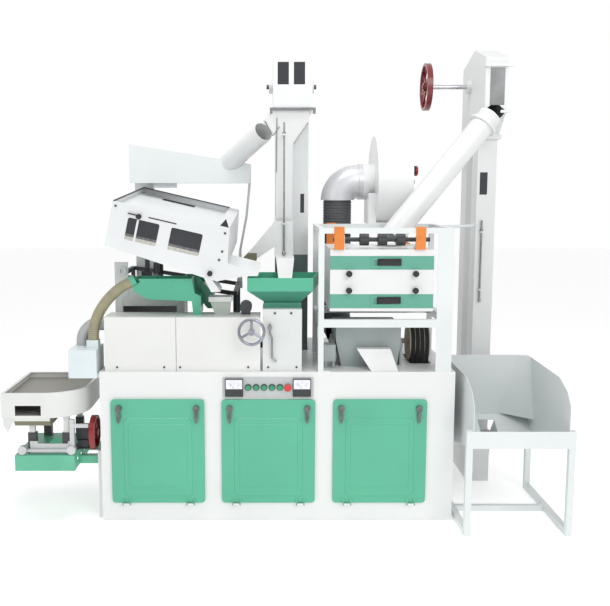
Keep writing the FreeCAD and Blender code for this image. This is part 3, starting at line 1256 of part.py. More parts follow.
def husker_case():
    x0, x1, y0, y1 = HUSK_X0, HUSK_X1, HUSK_Y0, HUSK_Y1

    def ring(inset, z, d):
        a, b, c, e = x0 + inset + d, x1 - inset * 0.5 - d, y0 + inset * 0.6 + d, y1 - d
        return Part.makePolygon([V(a, c, z), V(b, c, z), V(b, e, z), V(a, e, z), V(a, c, z)])
    outer = union(Part.makeLoft([ring(30, DECK, 0), ring(0, HUSK_SHOULDER, 0)], True, True),
                  block(x0, x1, y0, y1, HUSK_SHOULDER, HUSK_TOP))
    inner = union(Part.makeLoft([ring(30, DECK, SHEET), ring(0, HUSK_SHOULDER, SHEET)], True, True),
                  block(x0 + SHEET, x1 - SHEET, y0 + SHEET, y1 - SHEET, HUSK_SHOULDER - 0.1,
                        HUSK_TOP - SHEET))
    case = outer.cut(inner)
    case = case.cut(block(388, 547, y0 + 60, y0 + 80, HUSK_TOP - 2 * SHEET, HUSK_TOP + 1))
    for y in (HUSK_ROLL_Y, HUSK_SLOW_Y):
        case = case.cut(bar_x(x0 - 30, x1 + 30, y, HUSK_ROLL_Z, HUSK_SHAFT + 8))
        case = union(case, *[husk_bearing(x, y) for x in (x0 - 14, x1 + 2)])
    chute = husk_chute()
    case = union(case, chute)
    bx0, bx1, by0, by1, bz0, bz1 = SIDE_BOX
    legs = [block(x, x + 10, y, y + 10, DECK, bz0) for x in (bx0 + 4, bx1 - 14) for y in (by0 + 6,
                                                                                          by1 - 16)]
    return group(case, union(block(*SIDE_BOX), *legs))


def husk_bearing(x, y):
    plate = tube(V(x, y, HUSK_ROLL_Z), V(x + 12, y, HUSK_ROLL_Z), 38, HUSK_SHAFT + FIT)
    web = minus(block(x, x + 12, y - 38, y + 38, DECK, HUSK_ROLL_Z - 20),
                bar_x(x - 1, x + 13, y, HUSK_ROLL_Z, HUSK_SHAFT + FIT))
    return union(plate, web)


def husk_chute():
    def ring(a, b, c, e, z):
        return Part.makePolygon([V(a, c, z), V(b, c, z), V(b, e, z), V(a, e, z), V(a, c, z)])
    outer = Part.makeLoft([ring(466, 600, -484, -340, DECK), ring(398, 566, -440, -340, 868)], True, True)
    return outer.cut(block(280, 700, HUSK_Y0 + SHEET, -300, DECK - 1, 900))


def husk_roll(y, long_end):
    roll = bar_x(HUSK_X0 + 40, HUSK_X1 - 60, y, HUSK_ROLL_Z, HUSK_ROLL_R)
    end = HUSK_PULLEY_X + 60 if long_end else HUSK_X1 + 22
    shaft = bar_x(HUSK_X0 - 22, end, y, HUSK_ROLL_Z, HUSK_SHAFT)
    if long_end:
        return union(roll, shaft, grooved_pulley(HUSK_PULLEY_X, y, HUSK_ROLL_Z, HUSK_PULLEY_R, BELT_COUNT))
    return union(roll, shaft)


# ======================= drive in the cabinet =======================

def main_motor():
    x0, x1 = MOTOR_X
    case = bar_x(x0, x1, LINE_Y, LINE_Z, MOTOR_R)
    fins = [block(x0 + 20, x1 - 20, LINE_Y - 4, LINE_Y + 4, LINE_Z, LINE_Z + MOTOR_R + 14)]
    for turn in (30, 60, 90, -30, -60, -90):
        fin = fins[0].copy()
        fin.rotate(V(x0, LINE_Y, LINE_Z), X_AXIS, turn)
        fins.append(fin)
    feet = block(x0 + 40, x1 - 40, LINE_Y - 100, LINE_Y + 100, LINE_Z - MOTOR_R - 20, LINE_Z - 70)
    body = union(case, feet, *fins)
    body = body.cut(bar_x(x0 - 1, x1 + 1, LINE_Y, LINE_Z, LINE_R + FIT))
    plinth = minus(block(x0, x1, LINE_Y - 140, LINE_Y + 140, 0, LINE_Z - MOTOR_R - 20),
                   block(x0 - 1, x1 + 1, LINE_Y - 120, LINE_Y + 120, -1, LINE_Z - MOTOR_R - 40))
    x2, x3, y2, y3 = FEED_MOTOR
    mid = (x2 + x3) / 2
    feed = union(bar_y(y2, y3, mid, COVER_TOP + FEED_MOTOR_H / 2 + 2, (x3 - x2) / 2),
                 block(x2 + 8, x3 - 8, y2 + 6, y3 - 6, COVER_TOP, COVER_TOP + 20),
                 block(x2 + 8, x3 - 8, COVER_Y + LEDGE_D - 20, y3 - 6, COVER_TOP, COVER_TOP + 4))
    pedestal = minus(block(-170, -150, LINE_Y - 40, LINE_Y + 40, 0, LINE_Z + 40),
                     bar_x(-180, -140, LINE_Y, LINE_Z, LINE_R + FIT))
    return group(union(body, plinth), feed, pedestal)


def line_shaft():
    shaft = bar_x(-200, HUSK_PULLEY_X + 60, LINE_Y, LINE_Z, LINE_R)
    return union(shaft, grooved_pulley(MILL_PULLEY_X, LINE_Y, LINE_Z, LINE_PULLEY_R, 2),
                 grooved_pulley(HUSK_PULLEY_X, LINE_Y, LINE_Z, LINE_PULLEY_R, BELT_COUNT))


def belt(x, low, high):
    """One belt round two pulleys: low and high are (y, z, radius)."""
    (y0, z0, r0), (y1, z1, r1) = low, high
    run = math.hypot(y1 - y0, z1 - z0)
    heading = math.atan2(z1 - z0, y1 - y0)
    lean = math.acos((r0 - r1) / run)

    def loop(extra):
        edges = []
        ends = []
        for side in (1, -1):
            a = heading + side * lean
            ends.append((V(x, y0 + (r0 + extra) * math.cos(a), z0 + (r0 + extra) * math.sin(a)),
                         V(x, y1 + (r1 + extra) * math.cos(a), z1 + (r1 + extra) * math.sin(a))))
        far = V(x, y1 + (r1 + extra) * math.cos(heading), z1 + (r1 + extra) * math.sin(heading))
        near = V(x, y0 - (r0 + extra) * math.cos(heading), z0 - (r0 + extra) * math.sin(heading))
        edges.append(Part.makeLine(ends[0][0], ends[0][1]))
        edges.append(Part.Arc(ends[0][1], far, ends[1][1]).toShape())
        edges.append(Part.makeLine(ends[1][1], ends[1][0]))
        edges.append(Part.Arc(ends[1][0], near, ends[0][0]).toShape())
        return Part.Face(Part.Wire(edges))
    band = loop(GAP + BELT_T).cut(loop(GAP))
    solid = band.extrude(V(BELT_W, 0, 0))
    solid.translate(V(-BELT_W / 2, 0, 0))
    return solid


def drive_belts():
    belts = []
    for i in range(2):
        x = MILL_PULLEY_X + (i - 0.5) * BELT_PITCH
        belts.append(belt(x, (LINE_Y, LINE_Z, LINE_PULLEY_R), (MILL_Y, MILL_Z, MILL_PULLEY)))
    for i in range(BELT_COUNT):
        x = HUSK_PULLEY_X + (i - (BELT_COUNT - 1) / 2) * BELT_PITCH
        belts.append(belt(x, (LINE_Y, LINE_Z, LINE_PULLEY_R), (HUSK_ROLL_Y, HUSK_ROLL_Z, HUSK_PULLEY_R)))
    return group(*belts)


# ======================= fan =======================

def fan_housing():
    """Scroll fan on a sheet pedestal over the sieve frame, blowing to the back through a round spigot."""
    x0, x1 = FAN_X0, FAN_X1
    w = FAN_WALL
    foot = FAN_Z - FAN_R
    mouth = FAN_Y + FAN_R + 60
    drum = union(bar_x(x0, x1, FAN_Y, FAN_Z, FAN_R), block(x0, x1, FAN_Y, mouth, foot, foot + FAN_MOUTH))
    inner = union(bar_x(x0 + w, x1 - w, FAN_Y, FAN_Z, FAN_R - w),
                  block(x0 + w, x1 - w, FAN_Y, mouth - w, foot + w, foot + FAN_MOUTH - w))
    mid = (x0 + x1) / 2
    out_z = foot + FAN_MOUTH / 2
    spigot = bar_y(mouth - 1, mouth + SPIGOT_LEN, mid, out_z, SPIGOT_R)
    way = bar_y(mouth - 2 * w, mouth + SPIGOT_LEN + 1, mid, out_z, SPIGOT_R - SHEET)
    collar = bar_x(x0 - COLLAR, x0 + 1, FAN_Y, FAN_Z, DUCT_R + 6)
    eye = bar_x(x0 - COLLAR - 1, x0 + w + 1, FAN_Y, FAN_Z, FAN_EYE_R)
    bearing = bar_x(x1 - 1, x1 + 30, FAN_Y, FAN_Z, 34)
    beam_y = FRAME_BACK - FRAME_POST
    cheek = union(block(x0 - 40, x0 - 34, beam_y, FAN_Y + 60, FRAME_TOP, FAN_Z - 60),
                  block(x0 - 40, x0 + 1, beam_y, beam_y + 6, FRAME_TOP, FAN_Z - 60),
                  block(x0 - 40, x0 + 100, beam_y, FRAME_BACK + 14, FRAME_TOP, FRAME_TOP + 8))
    post = block(x1, x1 + 34, FAN_Y - KNOB_Y - 26, FAN_Y - KNOB_Y + 26, FAN_Z + 38, FAN_Z + 82)
    body = minus(union(drum, spigot, collar, bearing, cheek, post), inner, way, eye,
                 bar_x(x1 - w - 1, x1 + 31, FAN_Y, FAN_Z, FAN_SHAFT + FIT),
                 bar_x(x1 - 2, x1 + 40, FAN_Y - KNOB_Y, FAN_Z + KNOB_RISE, KNOB_SPINDLE + FIT))
    return body


def fan_impeller():
    x0, x1 = FAN_X0 + 40, FAN_X1 - 30
    back = bar_x(x1 - 6, x1, FAN_Y, FAN_Z, IMPELLER_R)
    shaft = bar_x(x0, FAN_X1 + 44, FAN_Y, FAN_Z, FAN_SHAFT)
    blades = []
    for k in range(8):
        blade = block(x0, x1 - 6, FAN_Y - 2, FAN_Y + 2, FAN_Z + 8, FAN_Z + IMPELLER_R)
        blade.rotate(V(x0, FAN_Y, FAN_Z), X_AXIS, 45 * k)
        blades.append(blade)
    return union(back, shaft, *blades)


def fan_knob():
    """Star knob on the fan's damper spindle."""
    x = FAN_X1 + 34 + GAP
    y, z = FAN_Y - KNOB_Y, FAN_Z + KNOB_RISE
    boss = bar_x(x, x + 24, y, z, 22)
    lobes = [bar_x(x + 2, x + 20, y + 22 * math.cos(math.radians(60 * k)),
                   z + 22 * math.sin(math.radians(60 * k)), 8)
             for k in range(6)]
    spindle = bar_x(FAN_X1 + 1, x + 1, y, z, KNOB_SPINDLE)
    return union(boss, spindle, *lobes)


def bent_duct(circle_radius, shell, bend_point, bend_radius, start, start_axis, turn_axis, turn):
    """Hollow quarter bend swept from a ring at start."""
    outer = Part.Face(Part.Wire(Part.Circle(start, start_axis, circle_radius).toShape()))
    inner = Part.Face(Part.Wire(Part.Circle(start, start_axis, circle_radius - shell).toShape()))
    return outer.revolve(bend_point, turn_axis, turn).cut(inner.revolve(bend_point, turn_axis, turn))


def fan_duct():
    """Suction elbow and the hose from it down behind the sieve to the husker."""
    y, z = FAN_Y, FAN_Z
    x_bend = ELBOW_X + DUCT_BEND
    x_collar = FAN_X0 - COLLAR
    straight = tube(V(x_bend, y, z), V(x_collar, y, z), DUCT_R, DUCT_R - SHEET)
    ring = tube(V(x_collar - 24, y, z), V(x_collar, y, z), DUCT_R + 6, DUCT_R - SHEET)
    elbow = bent_duct(DUCT_R, SHEET, V(x_bend, y, z - DUCT_BEND), DUCT_BEND, V(x_bend, y, z), X_AXIS,
                      Y_AXIS, -90)
    hose = tube(V(ELBOW_X, y, HOSE_FOOT), V(ELBOW_X, y, z - DUCT_BEND), HOSE_R, HOSE_R - 4)
    foot_centre = V(ELBOW_X, y - HOSE_BEND, HOSE_FOOT)
    foot = bent_duct(HOSE_R, 4, foot_centre, HOSE_BEND, V(ELBOW_X, y, HOSE_FOOT), Z_AXIS, X_AXIS, -90)
    run = tube(V(ELBOW_X, y - HOSE_BEND, HOSE_FOOT - HOSE_BEND), V(ELBOW_X, HUSK_Y1, HOSE_FOOT - HOSE_BEND),
               HOSE_R, HOSE_R - 4)
    return group(union(elbow, straight, ring), union(hose, foot, run))


# ======================= intake hopper =======================

def intake_hopper():
    """Tipping hopper: curved side walls, low front lip, sloping floor and a tall back."""
    x0, x1, y0, y1 = BOWL_X0 + STAND_TUBE, BOWL_X1 - STAND_TUBE, BOWL_Y0, BOWL_Y1
    t = BOWL_T
    sump = y1 - BOWL_SUMP
    side = [(y0 + t, BOWL_LIP_FOOT), (y0 + t, 640), (y0 + 60, 700), (y0 + 180, 745), (y1, BOWL_BACK),
            (y1, BOWL_REAR), (sump, BOWL_LOW)]
    left = prism_yz(side, x0, x0 + t)
    right = prism_yz(side, x1 - t, x1)
    front = block(BOWL_X0, BOWL_X1, y0, y0 + t, BOWL_LIP_FOOT, BOWL_LIP)
    back = block(x0, x1, y1 - t, y1, BOWL_REAR, BOWL_BACK)
    ramp = prism_yz([(y0 + t, BOWL_LIP_FOOT), (y0 + t, BOWL_LIP_FOOT + t), (sump, BOWL_LOW + t),
                     (sump, BOWL_LOW)],
                    x0, x1)
    rear = prism_yz([(sump, BOWL_LOW), (sump, BOWL_LOW + t), (y1 - t, BOWL_REAR + t),
                     (y1 - t, BOWL_REAR)], x0, x1)

    def corner(z, reach):
        return Part.makePolygon([V(x1 - t, y1 - t, z), V(x1 - reach, y1 - t, z), V(x1 - t, y1 - reach, z),
                                 V(x1 - t, y1 - t, z)])
    wedge = Part.makeLoft([corner(BOWL_REAR + 10, 150), corner(BOWL_BACK, 60)], True, True)
    bowl = union(left, right, front, back, ramp, rear, wedge)
    mouth_y, mouth_z = LEG_Y[0] - MOUTH_OUT, MOUTH_Z
    a, b = RIGHT_X[0] + SHEET, RIGHT_X[1] - SHEET
    spout = [(sump - 60, BOWL_LOW + 14), (y1 - 40, BOWL_REAR - 20), (mouth_y, mouth_z[1]),
             (mouth_y, mouth_z[0]), (sump + 20, BOWL_LOW - 40)]
    way = [(sump - 50, BOWL_LOW + 12), (y1 - 44, BOWL_REAR), (mouth_y, mouth_z[1] - t),
           (mouth_y, mouth_z[0] + t), (sump + 20, BOWL_LOW - 36)]
    floor = prism_yz([(sump - 62, BOWL_LOW + 10), (sump, BOWL_LOW - 4), (y1 - 40, BOWL_REAR - 26),
                      (y1 - 40, BOWL_REAR + 10),
                      (sump - 62, BOWL_LOW + 30)], a + t, b - t)
    return union(bowl.cut(floor), prism_yz(spout, a, b).cut(prism_yz(way, a + t, b - t)).cut(
        prism_yz([(y0, BOWL_LIP_FOOT + t), (sump, BOWL_LOW + t), (y1, BOWL_REAR + t), (y1, 900),
                  (y0, 900)], a, b)))


def intake_stand():
    x0, x1, y0, y1 = BOWL_X0, BOWL_X1, BOWL_Y0 + BOWL_T, BOWL_Y1
    s = STAND_TUBE
    bars = []
    for x in (x0, x1 - s):
        bars += [block(x, x + s, y0, y0 + s, 0, BOWL_LIP), block(x, x + s, y1 - s, y1, 0, BOWL_REAR + 60),
                 block(x, x + s, y0, y1, 0, s)]
    bars.append(block(x0, x1, y0 + 330, y0 + 330 + s, 0, s))
    return union(*bars)


# ======================= outlet box, hose and grader =======================

def outlet_box():
    x0, x1, y0, y1 = OUT_X0, OUT_X1, OUT_Y0, OUT_Y1
    case = hollow_box(x0, x1, y0, y1, OUT_Z0, OUT_Z1, SHEET)
    case = case.cut(block(x0 + 20, x1 - 20, y0 + 20, y1 - 20, OUT_Z0 - 1, OUT_Z0 + SHEET + 1))
    mount = block(x1, LEFT, y0 + 20, y1, OUT_Z0, OUT_Z0 + 20)
    post_x = HOSE_ROUTE[0][0]
    post_y = HOSE_ROUTE[0][1]
    case = case.cut(bar_z(OUT_Z1 - 10, OUT_Z1 + 1, post_x, post_y, 20))
    post = minus(block(post_x - 18 - 12, post_x + 27, post_y - 30, post_y + 30, OUT_Z1, 915),
                 bar_z(OUT_Z1 - 1, 916, post_x, post_y, 22))
    z = OUT_Z1 + VENT_NECK
    neck = tube(V(VENT_X, VENT_Y, OUT_Z1), V(VENT_X, VENT_Y, z), VENT_R, VENT_R - SHEET)
    bend = bent_duct(VENT_R, SHEET, V(VENT_X + VENT_BEND, VENT_Y, z), VENT_BEND, V(VENT_X, VENT_Y, z),
                     Z_AXIS, Y_AXIS, 90)
    run = tube(V(VENT_X + VENT_BEND, VENT_Y, z + VENT_BEND), V(COVER_X0, VENT_Y, z + VENT_BEND), VENT_R,
               VENT_R - SHEET)
    case = case.cut(bar_z(OUT_Z1 - 10, OUT_Z1 + 1, VENT_X, VENT_Y, VENT_R - SHEET))
    return group(union(case, mount, post), union(neck, bend, run))


def rounded_path_tube(points, radius):
    """Straight runs joined by tangent arcs as large as the runs allow."""
    pts = [V(*p) for p in points]
    edges = []
    cursor = pts[0]
    for i in range(1, len(pts) - 1):
        a = pts[i - 1] - pts[i]
        b = pts[i + 1] - pts[i]
        la, lb = a.Length, b.Length
        a.normalize()
        b.normalize()
        turn = math.pi - a.getAngle(b)
        cut = 0.45 * min(la, lb)
        start = pts[i] + a * cut
        end = pts[i] + b * cut
        bend = cut / math.tan(turn / 2)
        inward = (a + b)
        inward.normalize()
        mid = pts[i] + inward * (bend / math.cos(turn / 2) - bend)
        print("hose bend radius", round(bend, 1))
        edges.append(Part.LineSegment(cursor, start).toShape())
        edges.append(Part.Arc(start, mid, end).toShape())
        cursor = end
    edges.append(Part.LineSegment(cursor, pts[-1]).toShape())
    path = Part.Wire(edges)
    circle = Part.Wire(Part.Circle(pts[0], pts[1] - pts[0], radius).toShape())
    return path.makePipeShell([circle], True, False), path.Length


def outlet_hose():
    solid, length = rounded_path_tube(HOSE_ROUTE, HOSE_D / 2)
    print("hose length", round(length, 1), "volume", round(solid.Volume),
          "section times length", round(math.pi * (HOSE_D / 2) ** 2 * length))
    return solid


def pan_outline(inset):
    """Plan of the grader pan: a rectangle with one large rounded front corner."""
    x0, x1, y0, y1 = PAN_X0 + inset, PAN_X1 - inset, PAN_Y0 + inset, PAN_Y1 - inset
    r = PAN_R - inset
    corner = V(x1 - r, y0 + r, 0)
    mid = corner + V(math.cos(math.radians(-45)), math.sin(math.radians(-45)), 0) * r
    edges = [Part.makeLine(V(x0, y0, 0), V(x1 - r, y0, 0)),
             Part.Arc(V(x1 - r, y0, 0), mid, V(x1, y0 + r, 0)).toShape(),
             Part.makeLine(V(x1, y0 + r, 0), V(x1, y1, 0)), Part.makeLine(V(x1, y1, 0), V(x0, y1, 0)),
             Part.makeLine(V(x0, y1, 0), V(x0, y0, 0))]
    return Part.Face(Part.Wire(edges))


def pan_slab(inset, z0, z1):
    face = pan_outline(inset)
    face.translate(V(0, 0, z0))
    return face.extrude(V(0, 0, z1 - z0))


def grader_tray():
    top, foot = PAN_TOP, PAN_TOP - PAN_H
    body = pan_slab(0, foot, top).cut(pan_slab(PAN_T, foot + PAN_T, top + 1))
    rim = pan_slab(0, top - PAN_T, top).cut(pan_slab(16, top - 2 * PAN_T, top + 1))
    mesh = pan_slab(PAN_T - 1, top - 34, top - 31)
    x0, x1, z0, z1 = PAN_WINDOW
    window = block(x0, x1, PAN_Y0 - 1, PAN_Y0 + PAN_T + 1, z0, z1)
    body = union(body, rim, mesh).cut(window)
    lower = prism_yz([(PAN_Y0 + 2, foot), (PAN_Y1 - 30, foot), (PAN_Y1 - 60, foot - 44),
                      (PAN_Y0 + 30, foot - 44)],
                     x0 - 10, x1 + 40)
    spout = prism_xz([(PAN_X0 + 6, foot), (x0 - 6, foot), (x0 - 40, foot - 74), (PAN_X0 + 6, foot - 40)],
                     PAN_Y0 + 10, PAN_Y0 + 14)
    spout = union(spout, prism_xz([(PAN_X0 + 6, foot), (PAN_X0 + 9, foot), (PAN_X0 + 9, foot - 40),
                                   (PAN_X0 + 6, foot - 40)], PAN_Y0 + 10, PAN_Y0 + 80))
    feet = [block(x - 14, x + 14, y - 12, y + 12, foot - 90, foot)
            for x in FOOT_X for y in FOOT_Y]
    return union(body, lower, spout, *feet)


def grader_base():
    x0, x1, y0, y1 = BASE_X0, BASE_X1, BASE_Y0, BASE_Y1
    t = 5.0
    channel = open_tube_z(x0, x1, y0, y1, BASE_Z0, BASE_Z1, t)
    shelf = minus(block(x0, x1, y0, y1, BASE_Z1 - t, BASE_Z1),
                  block(x0 + 115, x1 - 115, y0 + 100, y1 - 100, BASE_Z1 - 2 * t, BASE_Z1 + 1))
    slots = [block(x1 - 8, x1 + 1, y0 + 60 + k * 80, y0 + 100 + k * 80, BASE_Z0 + 30,
                   BASE_Z0 + 50) for k in range(3)]
    frame = minus(union(channel, shelf), *slots)
    arms = [block(x1, LEFT - SKIRT_T, y, y + 40, BASE_Z0, BASE_Z0 + 40) for y in (y0 + 120, y1 - 60)]
    frame = union(frame, *arms)
    return group(frame, *rocker_frame())


def rocker_frame():
    z = BASE_Z1
    feet_top = PAN_TOP - PAN_H - 90 - GAP
    side = minus(block(-1229, -1027, -520, -514, z, feet_top - 40),
                 block(-1190, -1040, -530, -500, 405, 428))
    bar_front = block(-1240, -1027, -534, -520, z + 12, z + 26)
    upright = block(-1027, -1005, -534, -512, z, 530)
    cross = block(-1005, -935, -534, -522, 490, 508)
    stools = [block(x - 20, x + 20, y - 18, y + 18, z, feet_top)
              for x in FOOT_X for y in FOOT_Y]
    bearings = [bar_y(-548, -520, x, z + 24, 22) for x in (-1262, -1020)]
    x, y, wz = CRANK_WHEEL_X, CRANK_WHEEL_Y, CRANK_WHEEL_Z
    motor = minus(union(bar_x(x - 82, x - 20, y, wz, 46), block(x - 76, x - 26, y - 40, y + 40, z + 6,
                                                                wz - 30),
                        block(BASE_X1 - 30, x - 20, y - 50, y + 50, z, z + 6)),
                  bar_x(x - 90, x - 10, y, wz, CRANK_SHAFT + FIT))
    return [union(side, bar_front, upright, cross, *stools, *bearings), motor]


def grader_wheel():
    wheel = spoked_wheel(CRANK_WHEEL_X, CRANK_WHEEL_Y, CRANK_WHEEL_Z, CRANK_WHEEL_R, CRANK_WHEEL_W, 20,
                         14, 4)
    return union(wheel, bar_x(CRANK_WHEEL_X - 78, CRANK_WHEEL_X + 18, CRANK_WHEEL_Y, CRANK_WHEEL_Z,
                              CRANK_SHAFT))


# ======================= writing =======================

def main():
    os.makedirs("parts", exist_ok=True)
    nodes = {"cabinet_shell": cabinet_shell(), "cabinet_front": cabinet_front(),
             "control_panel": control_panel(), "stop_button": stop_button(),
             "mill_covers": mill_covers(), "mill_case": mill_case(), "milling_roller": milling_roller(),
             "handwheel": handwheel(), "gate_crank": gate_crank(), "centre_hopper": centre_hopper(),
             "green_tray": green_tray(), "separator_box": separator_box(),
             "rocker_left": rocker_arms(0), "rocker_right": rocker_arms(1),
             "separator_stand": separator_stand(), "separator_feed_box": separator_feed_box(),
             "elevator_centre": group(elevator_c_legs(), c_head()),
             "elevator_c_pulley": elevator_c_pulley(),
             "elevator_right": group(elevator_r_legs(), r_head()), "elevator_r_pulley": elevator_r_pulley(),
             "grain_spouts": group(centre_chutes(), feed_pipe()),
             "gate_rod_centre": gate_rod(ROD_CENTRE, ROD_CENTRE_Z, 11.0),
             "gate_rod_right": gate_rod(ROD_RIGHT, ROD_RIGHT_Z, 9.0),
             "sieve_frame": sieve_frame(), "sieve_box": sieve_box(),
             "sieve_drawer_lower": sieve_drawer(0), "sieve_drawer_upper": sieve_drawer(1),
             "leaf_springs": leaf_springs(), "eccentric_shaft": eccentric_shaft(),
             "husker_case": husker_case(), "fast_roll": husk_roll(HUSK_ROLL_Y, True),
             "slow_roll": husk_roll(HUSK_SLOW_Y, False), "main_motor": main_motor(),
             "line_shaft": line_shaft(), "drive_belts": drive_belts(), "fan_housing": fan_housing(),
             "fan_impeller": fan_impeller(), "fan_knob": fan_knob(), "fan_duct": fan_duct(),
             "intake_hopper": intake_hopper(), "intake_stand": intake_stand(), "outlet_box": outlet_box(),
             "outlet_hose": outlet_hose(), "grader_tray": grader_tray(), "grader_base": grader_base(),
             "grader_wheel": grader_wheel()}
    for name, x in zip(("left", "middle", "right"), DOOR_X):
        nodes["door_" + name] = door(x)
        nodes["latch_" + name + "_l"] = latch(x, -1)
        nodes["latch_" + name + "_r"] = latch(x, 1)
    for i, x in enumerate(button_places()):
        nodes["button_" + str(i + 1)] = start_button(x)
    for name, shape in nodes.items():
        shape.exportStep("parts/" + name + ".step")
    print(len(nodes), "nodes")


main()
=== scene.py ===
# %% [markdown]
# # Rice huller: one small rice mill line, dressed for a render
# Paddy goes in at the right, climbs the right elevator, is cleaned in the sieve box, husked,
# sorted on the tilted separator, whitened under the two front covers and graded at the far left.
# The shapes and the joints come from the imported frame. This file adds finishes, glass, screws,
# ribbed hoses and dial faces, and then lights the machine on a pale floor.

# %% Load the frame
import math

import bpy
from mathutils import Matrix, Vector


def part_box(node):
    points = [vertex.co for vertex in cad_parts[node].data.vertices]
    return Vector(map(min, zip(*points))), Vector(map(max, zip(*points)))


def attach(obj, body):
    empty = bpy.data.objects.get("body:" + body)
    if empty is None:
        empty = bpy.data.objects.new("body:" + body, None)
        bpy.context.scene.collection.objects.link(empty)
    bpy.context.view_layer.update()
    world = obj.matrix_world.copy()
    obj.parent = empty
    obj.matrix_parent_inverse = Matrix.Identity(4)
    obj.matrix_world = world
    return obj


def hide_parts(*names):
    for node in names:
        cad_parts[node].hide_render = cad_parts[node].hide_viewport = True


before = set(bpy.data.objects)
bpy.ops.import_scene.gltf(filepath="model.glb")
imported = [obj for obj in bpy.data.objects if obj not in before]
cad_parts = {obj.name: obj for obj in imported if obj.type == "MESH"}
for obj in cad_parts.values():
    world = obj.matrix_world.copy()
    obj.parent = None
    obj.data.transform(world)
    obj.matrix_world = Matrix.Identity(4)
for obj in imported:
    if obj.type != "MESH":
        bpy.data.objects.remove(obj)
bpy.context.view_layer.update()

# %% [markdown]
# ## One paint recipe
# Sheet-metal machines are sprayed in one or two enamels. A real coat is never one flat colour:
# it gets a little darker in patches and has a fine orange-peel skin. One function makes every
# finish from a colour, a roughness and a metal share, and two noise textures on Object
# coordinates add the patches and the skin. Zones give one node more than one finish: a zone is
# a box in the frame, and the recipe asks of each point whether it lies inside.

# %% The finish function
WHITE = (0.74, 0.75, 0.745)
COOL_WHITE = (0.70, 0.735, 0.735)
GREEN = (0.085, 0.42, 0.27)
BLACK = (0.012, 0.012, 0.014)
NOISE_RANGE = (0.3, 0.7)
PEEL_SCALE = 320.0
PEEL_DEPTH = 0.002


def add(tree, kind, links=(), **values):
    """One node with its settings; links are (input, output socket) pairs."""
    node = tree.nodes.new(kind)
    for key, value in values.items():
        setattr(node, key, value)
    for socket, source in links:
        tree.links.new(source, node.inputs[socket])
    return node


def larger(tree, first, second):
    """The larger of two numbers."""
    return add(tree, "ShaderNodeMath", [(0, first), (1, second)], operation="MAXIMUM").outputs[0]


def inside_box(tree, point, low, high):
    """1 inside the box and 0 outside it."""
    low, high = Vector(low), Vector(high)
    away = add(tree, "ShaderNodeVectorMath", [(0, point)], operation="SUBTRACT")
    away.inputs[1].default_value = (low + high) / 2
    size = add(tree, "ShaderNodeVectorMath", [(0, away.outputs[0])], operation="ABSOLUTE")
    past = add(tree, "ShaderNodeVectorMath", [(0, size.outputs[0])], operation="SUBTRACT")
    past.inputs[1].default_value = (high - low) / 2
    axes = add(tree, "ShaderNodeSeparateXYZ", [(0, past.outputs[0])])
    worst = larger(tree, larger(tree, axes.outputs[0], axes.outputs[1]), axes.outputs[2])
    test = add(tree, "ShaderNodeMath", [(0, worst)], operation="LESS_THAN")
    test.inputs[1].default_value = 0.0
    return test.outputs[0]


def blend(tree, kind, mask, first, second):
    """Mixes two colours or two numbers; each is a value or a socket."""
    node = add(tree, "ShaderNodeMix", data_type=kind)
    slots = (6, 7, 2) if kind == "RGBA" else (2, 3, 0)
    tree.links.new(mask, node.inputs[0])
    for index, value in zip(slots, (first, second)):
        if isinstance(value, bpy.types.NodeSocket):
            tree.links.new(value, node.inputs[index])
        else:
            node.inputs[index].default_value = (*value, 1.0) if kind == "RGBA" else value
    return node.outputs[slots[2]]


def finish(name, colour, rough=0.4, metal=0.0, spread=0.10, patch=5.0, skin=0.05, zones=(),
           coat=0.0):
    """A sprayed, cast or drawn surface. zones: (low, high, colour, rough, metal)."""
    mat = bpy.data.materials.new(name)
    mat.use_nodes = True
    tree = mat.node_tree
    shader = tree.nodes["Principled BSDF"]
    point = add(tree, "ShaderNodeTexCoord").outputs["Object"]
    tone, gloss, share = colour, rough, metal
    for low, high, zone_tone, zone_gloss, zone_share in zones:
        mask = inside_box(tree, point, low, high)
        tone = blend(tree, "RGBA", mask, tone, zone_tone)
        gloss = blend(tree, "FLOAT", mask, gloss, zone_gloss)
        share = blend(tree, "FLOAT", mask, share, zone_share)
    patches = add(tree, "ShaderNodeTexNoise", [("Vector", point)])
    patches.inputs["Scale"].default_value = patch
    patches.inputs["Detail"].default_value = 4.0
    shade = add(tree, "ShaderNodeMapRange", [(0, patches.outputs["Fac"])])
    for socket, value in enumerate((*NOISE_RANGE, 1.0 - spread, 1.0 + spread / 3), start=1):
        shade.inputs[socket].default_value = value
    tinted = add(tree, "ShaderNodeVectorMath", operation="SCALE")
    if isinstance(tone, bpy.types.NodeSocket):
        tree.links.new(tone, tinted.inputs[0])
        tree.links.new(gloss, shader.inputs["Roughness"])
        tree.links.new(share, shader.inputs["Metallic"])
    else:
        tinted.inputs[0].default_value = tone
        shader.inputs["Roughness"].default_value = gloss
        shader.inputs["Metallic"].default_value = share
    tree.links.new(shade.outputs[0], tinted.inputs["Scale"])
    tree.links.new(tinted.outputs[0], shader.inputs["Base Color"])
    peel = add(tree, "ShaderNodeTexNoise", [("Vector", point)])
    peel.inputs["Scale"].default_value = PEEL_SCALE
    bump = add(tree, "ShaderNodeBump", [("Height", peel.outputs["Fac"])])
    bump.inputs["Strength"].default_value = skin
    bump.inputs["Distance"].default_value = PEEL_DEPTH
    tree.links.new(bump.outputs[0], shader.inputs["Normal"])
    shader.inputs["Coat Weight"].default_value = coat
    mat.diffuse_color = (*colour, 1.0)
    return mat


def dress(mat, *nodes):
    """Gives CAD nodes a finish and leaves their shapes alone."""
    for node in nodes:
        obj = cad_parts[node]
        obj.data.materials.clear()
        obj.data.materials.append(mat)


